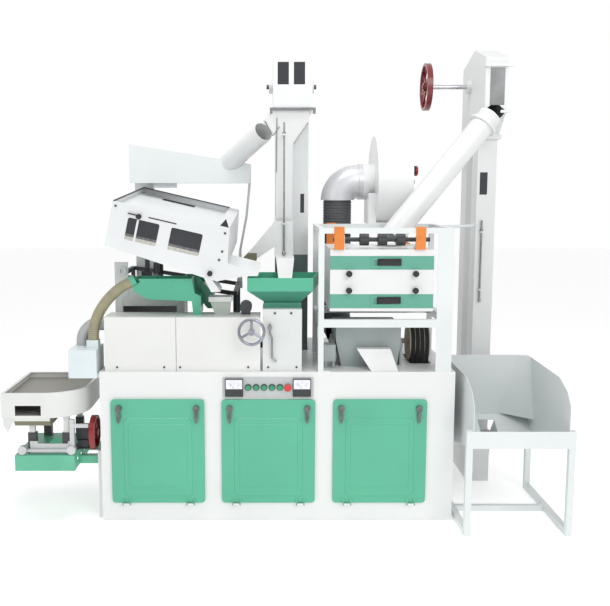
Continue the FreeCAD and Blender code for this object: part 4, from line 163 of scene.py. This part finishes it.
# %% [markdown]
# ## The base cabinet, its doors and the front covers
# The cabinet is folded sheet in a warm white enamel, and the three pressed doors are green.
# The enamel is a satin coat, so highlights stay broad and soft.

# %% Enamels of the cabinet
BIG = 9.0  # past the machine on every side
METER_DEPTH = 0.0135
dress(finish("cabinet white", WHITE, 0.36, spread=0.04, patch=2.0),
      "cabinet_shell", "cabinet_front")
dress(finish("cover white", (0.71, 0.715, 0.70), 0.4, spread=0.04, patch=2.5), "mill_covers")
dress(finish("door green", GREEN, 0.34, spread=0.07, patch=3.0, coat=0.15),
      "door_left", "door_middle", "door_right")
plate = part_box("control_panel")
meters_low = (plate[0].x, plate[0].y - 0.01, plate[0].z)
meters_high = (plate[1].x, plate[0].y + METER_DEPTH, plate[1].z)
dress(finish("control plate", (0.50, 0.51, 0.52), 0.42, 0.3, spread=0.05, patch=12.0,
             zones=[(meters_low, meters_high, (0.025, 0.027, 0.03), 0.3, 0.0)]), "control_panel")
dress(finish("green button", (0.01, 0.27, 0.11), 0.22, spread=0.12, patch=60.0, coat=0.5),
      *[f"button_{k}" for k in range(1, 6)])
dress(finish("red button", (0.62, 0.015, 0.01), 0.22, spread=0.12, patch=60.0, coat=0.5),
      "stop_button")
print("cabinet dressed")

# %% [markdown]
# ## Bright and dark metal
# Latches, rods and the crank are plated steel, the rocker arms and shafts are dark oily steel,
# and the handwheel is a polished casting. Metals share one recipe with a high metal share.

# %% Metals
SHAFT_X = 0.875
KNOB_X = 0.772
dress(finish("plated steel", (0.30, 0.31, 0.32), 0.3, 1.0, spread=0.2, patch=30.0),
      "gate_crank", "gate_rod_centre", "gate_rod_right")
dress(finish("latch steel", (0.16, 0.165, 0.17), 0.28, 1.0, spread=0.35, patch=45.0),
      *[f"latch_{door}_{side}" for door in ("left", "middle", "right") for side in "lr"])
dress(finish("wheel casting", (0.30, 0.31, 0.36), 0.24, 0.9, spread=0.3, patch=22.0), "handwheel")
dress(finish("dark steel", (0.08, 0.085, 0.09), 0.42, 0.7, spread=0.25, patch=18.0),
      "rocker_left", "rocker_right", "eccentric_shaft", "fan_impeller", "line_shaft",
      "milling_roller", "elevator_c_pulley")
dress(finish("roll rubber", (0.52, 0.47, 0.36), 0.7, spread=0.15, patch=16.0, skin=0.2),
      "fast_roll", "slow_roll")
dress(finish("belt rubber", BLACK, 0.75, spread=0.3, patch=25.0, skin=0.3), "drive_belts")
dress(finish("motor enamel", (0.05, 0.055, 0.06), 0.45, spread=0.15, patch=12.0), "main_motor")
dress(finish("spring orange", (0.72, 0.22, 0.035), 0.4, spread=0.15, patch=20.0), "leaf_springs")
dress(finish("red pulley", (0.17, 0.012, 0.015), 0.32, spread=0.25, patch=14.0, coat=0.3,
             zones=[((SHAFT_X, -BIG, -BIG), (BIG, BIG, BIG), (0.55, 0.56, 0.58), 0.3, 1.0)]),
      "elevator_r_pulley")
dress(finish("red wheel", (0.26, 0.010, 0.010), 0.3, spread=0.15, patch=14.0, coat=0.3),
      "grader_wheel")
dress(finish("red knob", (0.40, 0.012, 0.01), 0.3, spread=0.1, patch=40.0,
             zones=[((-BIG, -BIG, -BIG), (KNOB_X, BIG, BIG), BLACK, 0.4, 0.0)]), "fan_knob")
print("metals dressed")

# %% [markdown]
# ## Upper machines
# Elevators, feed box, sieve and separator are painted a cooler white than the cabinet. Where a
# node holds more than one material, a zone paints it; the dark foot of the centre trunk is
# painted shade.

# %% Enamels above the deck
SHADED_LOWER_TRUNK = ((-0.02, 0.0, 0.3), (0.19, BIG, 1.30))
MESH_SLEEVE = ((-0.235, -0.04, 1.20), (-0.106, 0.12, 1.318))
DUCT_HOSE = ((0.2, -BIG, 0.0), (0.46, 0.5, 1.5985))
DRAWER_MOUTHS = (((0.3, -0.54, 1.145), (0.72, -0.492, 1.19)),
                 ((0.3, -0.54, 1.23), (0.72, -0.492, 1.268)))
HUSKER_COVER = ((0.33, -BIG, 0.7), (0.60, -0.382, 0.98))
dress(finish("cool white", COOL_WHITE, 0.38, spread=0.05, patch=2.5),
      "separator_feed_box", "sieve_frame", "intake_hopper", "intake_stand")
dress(finish("trunk white", (0.72, 0.74, 0.74), 0.4, spread=0.05, patch=2.0,
             # the dark green-grey zone on the trunk's lower part is painted shade, not a second
             # paint
             zones=[(*SHADED_LOWER_TRUNK, (0.10, 0.14, 0.14), 0.45, 0.0)]),
      "elevator_centre")
dress(finish("right trunk white", (0.70, 0.715, 0.715), 0.4, spread=0.05, patch=2.0),
      "elevator_right")
dress(finish("spout white", (0.74, 0.75, 0.75), 0.34, spread=0.05, patch=3.0,
             zones=[(*MESH_SLEEVE, (0.19, 0.18, 0.12), 0.85, 0.0)]),
      "grain_spouts")
dress(finish("fan white", (0.78, 0.785, 0.79), 0.3, spread=0.04, patch=2.0), "fan_housing")
dress(finish("duct", (0.62, 0.63, 0.65), 0.32, 0.25, spread=0.08, patch=6.0,
             zones=[(*DUCT_HOSE, (0.10, 0.105, 0.115), 0.55, 0.1)]), "fan_duct")
dress(finish("sieve box", (0.74, 0.745, 0.745), 0.38, spread=0.05, patch=4.0,
             zones=[(*mouth, BLACK, 0.4, 0.0) for mouth in DRAWER_MOUTHS]), "sieve_box")
dress(finish("drawer green", (0.11, 0.365, 0.27), 0.36, spread=0.07, patch=4.0, coat=0.1),
      "sieve_drawer_lower", "sieve_drawer_upper")
# the grey base colour of the husker hood is painted shade; the white zone is its front cover
dress(finish("husker shaded grey", (0.34, 0.39, 0.385), 0.42, spread=0.10, patch=5.0,
             zones=[(*HUSKER_COVER, WHITE, 0.38, 0.0)]), "husker_case")
print("upper machines dressed")

# %% [markdown]
# ## Hoppers, tray, separator and grader
# The hopper over the whitener, the tray and the grader's base are green like the doors. Zones
# darken the feed motor, the deck knobs, the posts and the grader's mesh; the darker green at the
# mouth of the hopper is painted shade.

# %% Green and mixed nodes
MOTOR_CAP = ((-0.19, -0.395, 1.03), (-0.122, -0.305, 1.1005))
SHADED_HOPPER_MOUTH = ((-0.145, -0.477, 1.04), (0.172, -0.17, 1.168))
FUNNEL = ((-0.35, -0.405, 1.03), (-0.22, -0.295, 1.101))
DECK_KNOBS = (((-0.684, -0.52, 1.513), (-0.654, -0.498, 1.544)),
              ((-0.344, -0.52, 1.236), (-0.314, -0.484, 1.266)))
OUTLET_BEND = (((-1.05, -0.42, 0.875), (-0.94, -0.30, 1.2)),
               ((-0.94, -0.38, 0.93), (-0.85, -0.30, 1.2)))
BASE_POSTS = ((-1.4, -0.53, 0.3555), (-0.88, -0.1, 0.6))
BASE_FRONT = ((-1.4, -0.56, 0.3555), (-0.9, -0.5135, 0.6))
MESH_LOW, MESH_HIGH = 0.6375, 0.6415
PAN_MESH = (((-1.343, -0.566, MESH_LOW), (-1.155, -0.067, MESH_HIGH)),
            ((-1.155, -0.360, MESH_LOW), (-0.957, -0.067, MESH_HIGH)),
            ((-1.155, -0.505, MESH_LOW), (-1.018, -0.360, MESH_HIGH)))
PAN_FOOT = ((-1.30, -0.56, 0.50), (-1.11, -0.08, 0.5475))
dress(finish("hopper green", GREEN, 0.34, spread=0.07, patch=5.0, coat=0.1,
             zones=[(*MOTOR_CAP, BLACK, 0.45, 0.0),
                    # the darker green at the hopper's mouth is painted shade
                    (*SHADED_HOPPER_MOUTH, (0.05, 0.25, 0.17), 0.5, 0.0)]),
      "centre_hopper")
dress(finish("tray green", GREEN, 0.34, spread=0.08, patch=6.0, coat=0.1), "green_tray")
dress(finish("mill case", (0.66, 0.68, 0.67), 0.4, spread=0.06, patch=4.0,
             zones=[(*FUNNEL, (0.46, 0.52, 0.47), 0.4, 0.0)]),
      "mill_case")
dress(finish("stand steel", (0.045, 0.05, 0.055), 0.5, 0.3, spread=0.2, patch=9.0),
      "separator_stand")
dress(finish("separator white", (0.72, 0.735, 0.745), 0.36, spread=0.05, patch=3.0,
             zones=[(*knob, BLACK, 0.35, 0.0) for knob in DECK_KNOBS]),
      "separator_box")
dress(finish("outlet box", (0.66, 0.73, 0.745), 0.36, spread=0.05, patch=8.0,
             zones=[(*part, (0.42, 0.43, 0.43), 0.5, 0.5) for part in OUTLET_BEND]),
      "outlet_box")
dress(finish("grader base", (0.12, 0.46, 0.30), 0.38, spread=0.08, patch=8.0,
             zones=[(*BASE_POSTS, (0.06, 0.063, 0.066), 0.45, 0.4),
                    (*BASE_FRONT, (0.55, 0.56, 0.57), 0.4, 0.3)]),
      "grader_base")
dress(finish("grader pan", (0.70, 0.71, 0.69), 0.38, spread=0.05, patch=5.0,
             zones=[(*part, (0.28, 0.275, 0.25), 0.6, 0.4) for part in PAN_MESH]
             + [(*PAN_FOOT, (0.20, 0.19, 0.13), 0.6, 0.2)]),
      "grader_tray")
dress(finish("hose", (0.30, 0.28, 0.17), 0.4, spread=0.1, patch=12.0), "outlet_hose")
print("finishes on", len(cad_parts), "nodes")

# %% [markdown]
# ## Small pieces made from primitives
# A piece starts as a primitive at its real size and place. Its edges are then broken with a
# bevel, or its cap is inset and pushed in, as a drawn or moulded part would look.

# %% Helpers for new pieces
BASE = "base"
CAP_INSET = 0.45
CAP_EDGE = 0.12


def settle(obj, name, mat, body):
    """Names a new piece, bakes its place into the mesh and says what it rides on."""
    obj.name = obj.data.name = name.replace(" ", "_")
    bpy.ops.object.select_all(action="DESELECT")
    obj.select_set(True)
    bpy.context.view_layer.objects.active = obj
    bpy.ops.object.transform_apply(location=True, rotation=True, scale=True)
    obj.data.materials.clear()
    obj.data.materials.append(mat)
    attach(obj, body)
    return obj


def soften(obj, width, segments=2):
    """Breaks every edge of the active piece with a small bevel."""
    mod = obj.modifiers.new("edges", "BEVEL")
    mod.width = width
    mod.segments = segments
    bpy.context.view_layer.objects.active = obj
    bpy.ops.object.modifier_apply(modifier=mod.name)


def slab(low, high, edge=0.0006, turn=None):
    """A flat block between two corners, with soft edges. The matrix turn tilts it."""
    low, high = Vector(low), Vector(high)
    bpy.ops.object.select_all(action="DESELECT")
    bpy.ops.mesh.primitive_cube_add(size=1, location=(low + high) / 2)
    obj = bpy.context.object
    obj.scale = high - low
    bpy.ops.object.transform_apply(location=True, rotation=True, scale=True)
    soften(obj, min(edge, 0.3 * min(high - low)))
    if turn is not None:
        obj.matrix_world = turn
    return obj


def button_head(place, radius, height, axis="Y", sides=24, dish=0.25):
    """A round head facing along -axis, its cap inset and pushed in for the driver."""
    turns = {"X": (0, math.radians(90), 0), "Y": (math.radians(90), 0, 0), "Z": (0, 0, 0)}
    bpy.ops.object.select_all(action="DESELECT")
    bpy.ops.mesh.primitive_cylinder_add(vertices=sides, radius=radius, depth=height,
                                        location=place, rotation=turns[axis])
    obj = bpy.context.object
    bpy.ops.object.mode_set(mode="EDIT")
    bpy.ops.mesh.select_all(action="DESELECT")
    bpy.ops.object.mode_set(mode="OBJECT")
    caps = [f for f in obj.data.polygons if len(f.vertices) == sides and f.normal.z > 0.9]
    for face in caps:
        face.select = True
    bpy.ops.object.mode_set(mode="EDIT")
    bpy.ops.mesh.select_mode(type="FACE")
    bpy.ops.mesh.inset(thickness=radius * CAP_INSET)
    bpy.ops.transform.translate(value=(0, 0, -height * dish), orient_type="LOCAL")
    bpy.ops.object.mode_set(mode="OBJECT")
    soften(obj, min(radius, height) * CAP_EDGE, 1)
    return obj


def joined(parts, name, mat, body):
    """Joins repeats into one piece and settles it."""
    bpy.ops.object.select_all(action="DESELECT")
    for part in parts:
        part.select_set(True)
    bpy.context.view_layer.objects.active = parts[0]
    bpy.ops.object.join()
    return settle(parts[0], name, mat, body)


def copies(model, places):
    """The model stays at its first place; each further place gets a copy with its own mesh."""
    made = [model]
    for shift in places:
        twin = model.copy()
        twin.data = model.data.copy()
        twin.location = model.location + Vector(shift)
        bpy.context.collection.objects.link(twin)
        made.append(twin)
    return made


glass = finish("dark glass", (0.012, 0.014, 0.02), 0.12, spread=0.4, patch=14.0, coat=0.5)
grey_glass = finish("dusty glass", (0.17, 0.175, 0.18), 0.25, spread=0.45, patch=9.0, coat=0.4)
steel = finish("screw steel", (0.10, 0.10, 0.11), 0.35, 0.8, spread=0.2, patch=80.0)
rubber = finish("black trim", BLACK, 0.55, spread=0.3, patch=40.0)
print("helpers ready")

# %% [markdown]
# ## Sight windows
# Each machine has acrylic windows, so that the miller sees the grain move. They sit in shallow
# recesses of the sheet, a little back from its face.

# %% Panes
SEP_PLACE = (-0.512, -0.500, 1.538)
SEP_ROLL = math.radians(13.1)
SEP_PITCH = math.radians(4.2)
SEP_TURN = (Matrix.Translation(SEP_PLACE) @ Matrix.Rotation(SEP_ROLL, 4, "Y")
            @ Matrix.Rotation(SEP_PITCH, 4, "X"))
SEP_WINDOWS = {"left": (-0.1995, -0.0445), "right": (0.0145, 0.1695)}
SEP_SILL, SEP_HEAD = -0.1695, -0.0605


def pane(name, x0, x1, z0, z1, y, mat=glass, body=BASE, turn=None):
    """A thin pane just behind the plane y, between two widths and two heights."""
    sheet = slab((x0, y + 0.0003, z0), (x1, y + 0.0015, z1), turn=turn)
    return settle(sheet, name, mat, body)


pane("head window left", 0.0055, 0.0645, 2.2105, 2.3265, 0.0)
pane("head window right", 0.0915, 0.1505, 2.2105, 2.3265, 0.0)
pane("right head window", 1.1195, 1.1965, 2.0985, 2.2905, -0.05, grey_glass)
pane("centre trunk window", 0.1325, 0.1535, 1.5315, 1.6345, 0.1)
pane("right trunk window", 1.1185, 1.1595, 1.6305, 1.7515, 0.1)
for side, (u0, u1) in SEP_WINDOWS.items():
    pane(f"separator window {side}", u0, u1, SEP_SILL, SEP_HEAD, 0.0, body="separator_box",
         turn=SEP_TURN)
print("panes in place")

# %% [markdown]
# ## Meter faces
# The plate carries two moving-iron meters. Each has a pale upper face with a scale and needle
# over a black cover. The scale is a row of ticks round an arc, and the numbers are plain.

# %% Meters
PLATE_FACE = plate[0].y
METER_Z = 0.687
METER_HALF = 0.0405
TICK_FOOT = 0.034
TICK_LONG, TICK_SHORT = 0.040, 0.0375
NEEDLE_TURN = math.radians(-38)
NUMBER_SIZE = 0.009
paper = finish("dial paper", (0.76, 0.77, 0.84), 0.5, spread=0.03, patch=30.0)
ink = finish("dial ink", BLACK, 0.6, spread=0.3, patch=60.0)


def meter(name, x):
    """A dial face with eleven ticks, a needle and three numbers."""
    face_y = PLATE_FACE - 0.0006
    hub = METER_Z - 0.004
    face = slab((x - METER_HALF, face_y, METER_Z - 0.006),
                (x + METER_HALF, face_y + 0.0014, METER_Z + METER_HALF))
    settle(face, f"{name} face", paper, BASE)
    marks = []
    for k in range(11):
        angle = math.radians(140 - 10 * k)
        reach = TICK_LONG if k % 5 == 0 else TICK_SHORT
        tick = slab((-0.0005, 0, TICK_FOOT), (0.0005, 0.0004, reach))
        tick.matrix_world = (Matrix.Translation((x, face_y - 0.0002, hub))
                             @ Matrix.Rotation(math.radians(90) - angle, 4, "Y"))
        marks.append(tick)
    needle = slab((-0.0006, 0, 0.002), (0.0006, 0.0004, 0.032))
    needle.matrix_world = (Matrix.Translation((x, face_y - 0.0003, hub))
                           @ Matrix.Rotation(NEEDLE_TURN, 4, "Y"))
    for text, shift in (("0", -0.020), ("5", 0.0), ("10", 0.020)):
        bpy.ops.object.select_all(action="DESELECT")
        number_z = METER_Z + 0.018 - abs(shift) * 0.4
        bpy.ops.object.text_add(rotation=(math.radians(90), 0, 0),
                                location=(x + shift, face_y - 0.0001, number_z))
        word = bpy.context.object
        word.data.body = text
        word.data.size = NUMBER_SIZE
        word.data.align_x = "CENTER"
        word.data.extrude = 0.0002
        bpy.ops.object.convert(target="MESH")
        marks.append(bpy.context.object)
    joined(marks + [needle], f"{name} scale", ink, BASE)


meter("volt meter", -0.2135)
meter("amp meter", 0.1215)
print("meters done")

# %% [markdown]
# ## Ribbed hoses
# Dust and bran travel in hoses with a wire helix under the skin. The wire shows as rings. One
# ring is modelled and copied along the path, turned so that it stands square to the path.

# %% Rings along a path
def rings(path, radius, wire, pitch, name, mat, body=BASE):
    """Torus rings every pitch along a polyline of points."""
    runs = [(a, b, (b - a).length) for a, b in zip(path, path[1:])]
    total = sum(run[2] for run in runs)
    count = int(total / pitch)
    bpy.ops.object.select_all(action="DESELECT")
    bpy.ops.mesh.primitive_torus_add(major_radius=radius, minor_radius=wire, major_segments=40,
                                     minor_segments=8)
    model = bpy.context.object
    made = []
    for k in range(count):
        want = (k + 0.5) * total / count
        for a, b, length in runs:
            if want <= length:
                break
            want -= length
        twin = model.copy()
        twin.data = model.data.copy()
        spin = (b - a).to_track_quat("Z", "Y").to_matrix().to_4x4()
        twin.matrix_world = Matrix.Translation(a.lerp(b, want / length)) @ spin
        bpy.context.collection.objects.link(twin)
        made.append(twin)
    bpy.data.objects.remove(model)
    obj = joined(made, name, mat, body)
    bpy.ops.object.shade_smooth()
    return obj


HOSE_X = 0.341
HOSE_Y = 0.165
HOSE_TOP = 1.594
FOOT = 0.990
BEND = 0.095
RING_R = 0.076
RING_WIRE = 0.004
RING_PITCH = 0.014
bend = [Vector((HOSE_X, HOSE_Y - BEND + BEND * math.cos(a), FOOT - BEND * math.sin(a)))
        for a in [math.radians(9 * k) for k in range(1, 10)]]
drop = [Vector((HOSE_X, HOSE_Y, HOSE_TOP)), Vector((HOSE_X, HOSE_Y, FOOT))]
rings(drop + bend, RING_R, RING_WIRE, RING_PITCH, "fan hose rings",
      finish("hose rubber", (0.075, 0.08, 0.085), 0.5, spread=0.2, patch=20.0))
print("fan hose ringed")

# %% [markdown]
# ## The free hose at the outlet
# A short clear hose with olive wire carries bran from the outlet box up to the green tray. It is
# a real hose of 0.36 m, so it is one NURBS curve through chosen points, with a round bevel.

# %% Outlet hose
ROUTE = ((-0.917, -0.430, 0.915), (-0.917, -0.430, 0.960), (-0.905, -0.429, 1.010),
         (-0.884, -0.426, 1.058), (-0.852, -0.420, 1.106), (-0.812, -0.412, 1.149),
         (-0.770, -0.403, 1.181), (-0.731, -0.396, 1.200))
HOSE_D = 0.054
WIRE_R = 0.0014
WIRE_SINK = 0.0006
WIRE_PITCH = 0.0095
line = bpy.data.curves.new("outlet hose", "CURVE")
line.dimensions = "3D"
spline = line.splines.new("NURBS")
spline.points.add(len(ROUTE) - 1)
for point, place in zip(spline.points, ROUTE):
    point.co = (*place, 1.0)
spline.order_u = 3
spline.use_endpoint_u = True
spline.resolution_u = 16
hose = bpy.data.objects.new("bran_hose", line)
bpy.context.collection.objects.link(hose)
centre = [Vector(v.co) for v in bpy.data.meshes.new_from_object(hose).vertices]
line.bevel_depth = HOSE_D / 2
line.bevel_resolution = 8
line.use_fill_caps = True
line.materials.append(finish("clear olive hose", (0.34, 0.32, 0.20), 0.3, spread=0.15, patch=20.0,
                             coat=0.3))
wire = rings(centre, HOSE_D / 2 - WIRE_SINK, WIRE_R, WIRE_PITCH, "outlet hose wire",
             finish("olive wire", (0.20, 0.19, 0.11), 0.45, spread=0.2, patch=40.0))
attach(hose, BASE)
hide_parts("outlet_hose")
print("hose points", len(centre))

# %% [markdown]
# ## Fittings of the separator
# The deck box has a rubber gasket round its lid, an adjusting slot with a lever, a white stay
# across the left window and pale grain piled behind the lower edge of both windows. All of them
# tilt and swing with the box, so they are built level and then turned with it.

# %% Separator fittings
SWING = "separator_box"
SEP = 0.288  # half the width of the deck box
LID_END = 0.936
GRAIN_TOP, HAZE_TOP = -0.152, -0.140


def tilted(obj):
    """Turns a level piece, whose place isn't applied yet, into the separator's tilt."""
    obj.matrix_world = SEP_TURN @ obj.matrix_world
    return obj


grain = finish("piled grain", (0.52, 0.51, 0.47), 0.8, spread=0.3, patch=90.0, skin=0.4)
haze = finish("dusty pane foot", (0.14, 0.14, 0.145), 0.5, spread=0.5, patch=60.0)
for side, (u0, u1) in SEP_WINDOWS.items():
    settle(slab((u0, 0.0, SEP_SILL), (u1, 0.0014, GRAIN_TOP), turn=SEP_TURN),
           f"grain {side}", grain, SWING)
    settle(slab((u0, 0.0001, GRAIN_TOP), (u1, 0.0014, HAZE_TOP), turn=SEP_TURN),
           f"haze {side}", haze, SWING)
stay = finish("stay white", COOL_WHITE, 0.4, spread=0.06, patch=20.0)
settle(slab((-0.156, -0.0025, -0.176), (-0.146, 0.0012, -0.054), turn=SEP_TURN),
       "window stay", stay, SWING)
gasket = [slab((-SEP, 0.004, 0.0), (-SEP + 0.009, LID_END, 0.004), turn=SEP_TURN),
          slab((-SEP + 0.009, 0.927, 0.0), (SEP - 0.056, LID_END, 0.004), turn=SEP_TURN)]
joined(gasket, "lid gasket", rubber, SWING)
slot_line = [slab((-0.105, -0.0018, -0.042), (0.034, 0.0003, -0.0365), turn=SEP_TURN),
             slab((-0.205, -0.009, -0.044), (-0.150, -0.004, -0.038), 0.002, turn=SEP_TURN)]
joined(slot_line, "deck lever", rubber, SWING)
wing = button_head((0.262, 0.006, 0.010), 0.028, 0.005, sides=3, dish=0.1)
settle(tilted(wing), "lid catch", rubber, SWING)
bolts = [tilted(button_head((u, -0.0015, w), 0.006, 0.004)) for u, w in
         ((0.272, -0.030), (0.278, -0.120), (0.272, -0.164), (-0.270, -0.02))]
joined(bolts, "separator bolts", steel, SWING)
print("separator fitted")

# %% [markdown]
# ## Pull handles of the sieve drawers
# Each trash drawer has a black cup handle. It is a plate whose middle is inset and pushed in,
# so that fingers find an edge to pull on.

# %% Drawer handles
HANDLE_X = (0.487, 0.603)
HANDLE_HALF = 0.017
HANDLE_DROP = 0.030
CUP_LIP = 0.006
CUP_DEPTH = 0.0045


def cup_handle(name, node, z):
    """A plate on the drawer's front face with a cup pushed into its middle."""
    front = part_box(node)[0].y
    body = slab((HANDLE_X[0], front - 0.006, z - HANDLE_HALF),
                (HANDLE_X[1], front + 0.0002, z + HANDLE_HALF), 0.003)
    bpy.ops.object.select_all(action="DESELECT")
    body.select_set(True)
    bpy.context.view_layer.objects.active = body
    bpy.ops.object.mode_set(mode="EDIT")
    bpy.ops.mesh.select_mode(type="FACE")
    bpy.ops.mesh.select_all(action="DESELECT")
    bpy.ops.object.mode_set(mode="OBJECT")
    face = max(body.data.polygons, key=lambda f: f.area if f.normal.y < -0.9 else 0.0)
    face.select = True
    bpy.ops.object.mode_set(mode="EDIT")
    bpy.ops.mesh.inset(thickness=CUP_LIP)
    bpy.ops.transform.translate(value=(0, CUP_DEPTH, 0))
    bpy.ops.object.mode_set(mode="OBJECT")
    settle(body, name, rubber, node)


for level in ("lower", "upper"):
    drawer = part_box(f"sieve_drawer_{level}")
    cup_handle(f"{level} drawer handle", f"sieve_drawer_{level}", drawer[1].z - HANDLE_DROP)
print("handles fitted")

# %% [markdown]
# ## Straps, brackets and rods
# Angle iron and flat bar hold the spouts on the elevator, and one dark slanted strip is painted
# shadow of the hood's lower edge. A strip is a slab drawn between two points, so each strap is
# placed by its two ends.

# %% Strips
def strip(start, end, wide, thick):
    """A flat bar from start to end, wide across the front and thick in depth."""
    start, end = Vector(start), Vector(end)
    bar = slab((-wide / 2, -thick / 2, 0), (wide / 2, thick / 2, (end - start).length))
    turn = (end - start).to_track_quat("Z", "Y").to_matrix().to_4x4()
    bar.matrix_world = Matrix.Translation(start) @ turn
    return bar


iron = finish("flat iron and hood shadow", (0.20, 0.205, 0.21), 0.45, 0.4, spread=0.25, patch=25.0)
FLANGE_Z = 2.085
HOOD_Y = 0.012
LUG_TOP, LUG_FOOT = FLANGE_Z - 0.007, FLANGE_Z - 0.028
straps_and_hood_shadow = [slab((-0.036, -0.010, LUG_TOP), (0.208, -0.0002, FLANGE_Z + 0.005)),
          slab((-0.036, -0.010, LUG_FOOT), (-0.022, -0.0002, LUG_TOP)),
          slab((0.192, -0.010, LUG_FOOT), (0.208, -0.0002, LUG_TOP)),
          strip((-0.062, HOOD_Y, 2.022), (-0.020, HOOD_Y, 1.942), 0.009, 0.004),
          strip((-0.020, HOOD_Y, 1.942), (0.016, HOOD_Y, 1.992), 0.006, 0.004),
          strip((0.002, HOOD_Y, 2.038), (-0.001, HOOD_Y, 1.749), 0.007, 0.004),
          # this last slanted strip is painted shadow of the hood's lower edge, not a strap
          strip((0.170, HOOD_Y, 2.012), (0.092, HOOD_Y, 1.900), 0.016, 0.003)]
joined(straps_and_hood_shadow, "spout straps", iron, BASE)
print("strips done")

# %% [markdown]
# ## Screws of the covers
# Thin covers are held by small screws along their lower edge. One screw is modelled, with a
# recessed head, and copied to the other places.

# %% Screws
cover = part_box("mill_covers")
SCREW_Z = cover[0].z + 0.021
SCREW_X = (cover[0].x + 0.06, -0.56, -0.481, -0.144, -0.045, 0.095)
HOPPER_SCREW = (-0.012, cover[0].y - 0.002, 1.055)
HOPPER_SCREW_GAP = 0.08
first = button_head((SCREW_X[0], cover[0].y - 0.0015, SCREW_Z), 0.0055, 0.003)
joined(copies(first, [(x - SCREW_X[0], 0, 0) for x in SCREW_X[1:]]),
       "cover screws", steel, BASE)
first = button_head(HOPPER_SCREW, 0.006, 0.004)
joined(copies(first, [(HOPPER_SCREW_GAP, 0, 0)]), "hopper screws", steel, BASE)
print("screws done")

# %% [markdown]
# ## Floor and light
# The machine stands on a pale plain floor under soft light, as in a sales picture. The world is
# white to the camera and lights the shadows. Two large lamps in front shape the faces, and a
# third lamp overhead brightens the top plates.

# %% Stage
FLOOR_GLOW = 0.35
SKY_FILL = 0.58
bpy.ops.mesh.primitive_plane_add(size=40, location=(0, 0, -0.001))
floor = bpy.context.object
floor.name = "floor"
floor.data.materials.append(finish("pale floor", (0.93, 0.93, 0.93), 0.6, spread=0.01, patch=1.0,
                                   skin=0.0))
glow = floor.data.materials[0].node_tree.nodes["Principled BSDF"]
glow.inputs["Emission Color"].default_value = (1, 1, 1, 1)
glow.inputs["Emission Strength"].default_value = FLOOR_GLOW


def lamp(name, place, target, power, size):
    """A square area lamp of a given width, aimed at a target."""
    data = bpy.data.lights.new(name, "AREA")
    data.energy = power
    data.size = size
    obj = bpy.data.objects.new(name, data)
    obj.location = place
    obj.rotation_euler = (Vector(target) - Vector(place)).to_track_quat("-Z", "Y").to_euler()
    bpy.context.collection.objects.link(obj)


lamp("key", (2.2, -5.2, 4.2), (0, 0, 1.0), 136.0, 3.5)
lamp("fill", (-3.4, -4.2, 2.4), (-0.2, 0, 1.0), 22.0, 3.0)
lamp("top light", (-0.5, -0.75, 4.6), (-0.5, -0.45, 1.5), 62.0, 1.8)
world = bpy.data.worlds.new("studio")
bpy.context.scene.world = world
world.use_nodes = True
tree = world.node_tree
sky = tree.nodes["Background"]
ray = add(tree, "ShaderNodeLightPath")
seen = larger(tree, ray.outputs["Is Camera Ray"], ray.outputs["Is Glossy Ray"])
seen = larger(tree, seen, ray.outputs["Is Transmission Ray"])
strength = add(tree, "ShaderNodeMapRange", [(0, seen)])
strength.inputs[3].default_value = SKY_FILL
strength.inputs[4].default_value = 1.0
sky.inputs["Color"].default_value = (1, 1, 1, 1)
tree.links.new(strength.outputs[0], sky.inputs["Strength"])
bpy.context.scene.view_settings.view_transform = "Standard"
print("stage set")

# %% [markdown]
# ## Camera
# The camera stands a little above the deck in front of the machine and looks slightly down. The
# small sideways shift centres the machine without turning its front face.

# %% Camera
LENS = 50.2
SHIFT = 0.062
EYE = (-0.05, -4.62, 1.65)
LOOK_DOWN = 7.5
lens = bpy.data.cameras.new("front camera")
lens.lens = LENS
lens.shift_x = SHIFT
camera = bpy.data.objects.new("front camera", lens)
camera.location = EYE
camera.rotation_euler = (math.radians(90 - LOOK_DOWN), 0, 0)
bpy.context.collection.objects.link(camera)
bpy.context.scene.camera = camera
print("camera at", EYE)
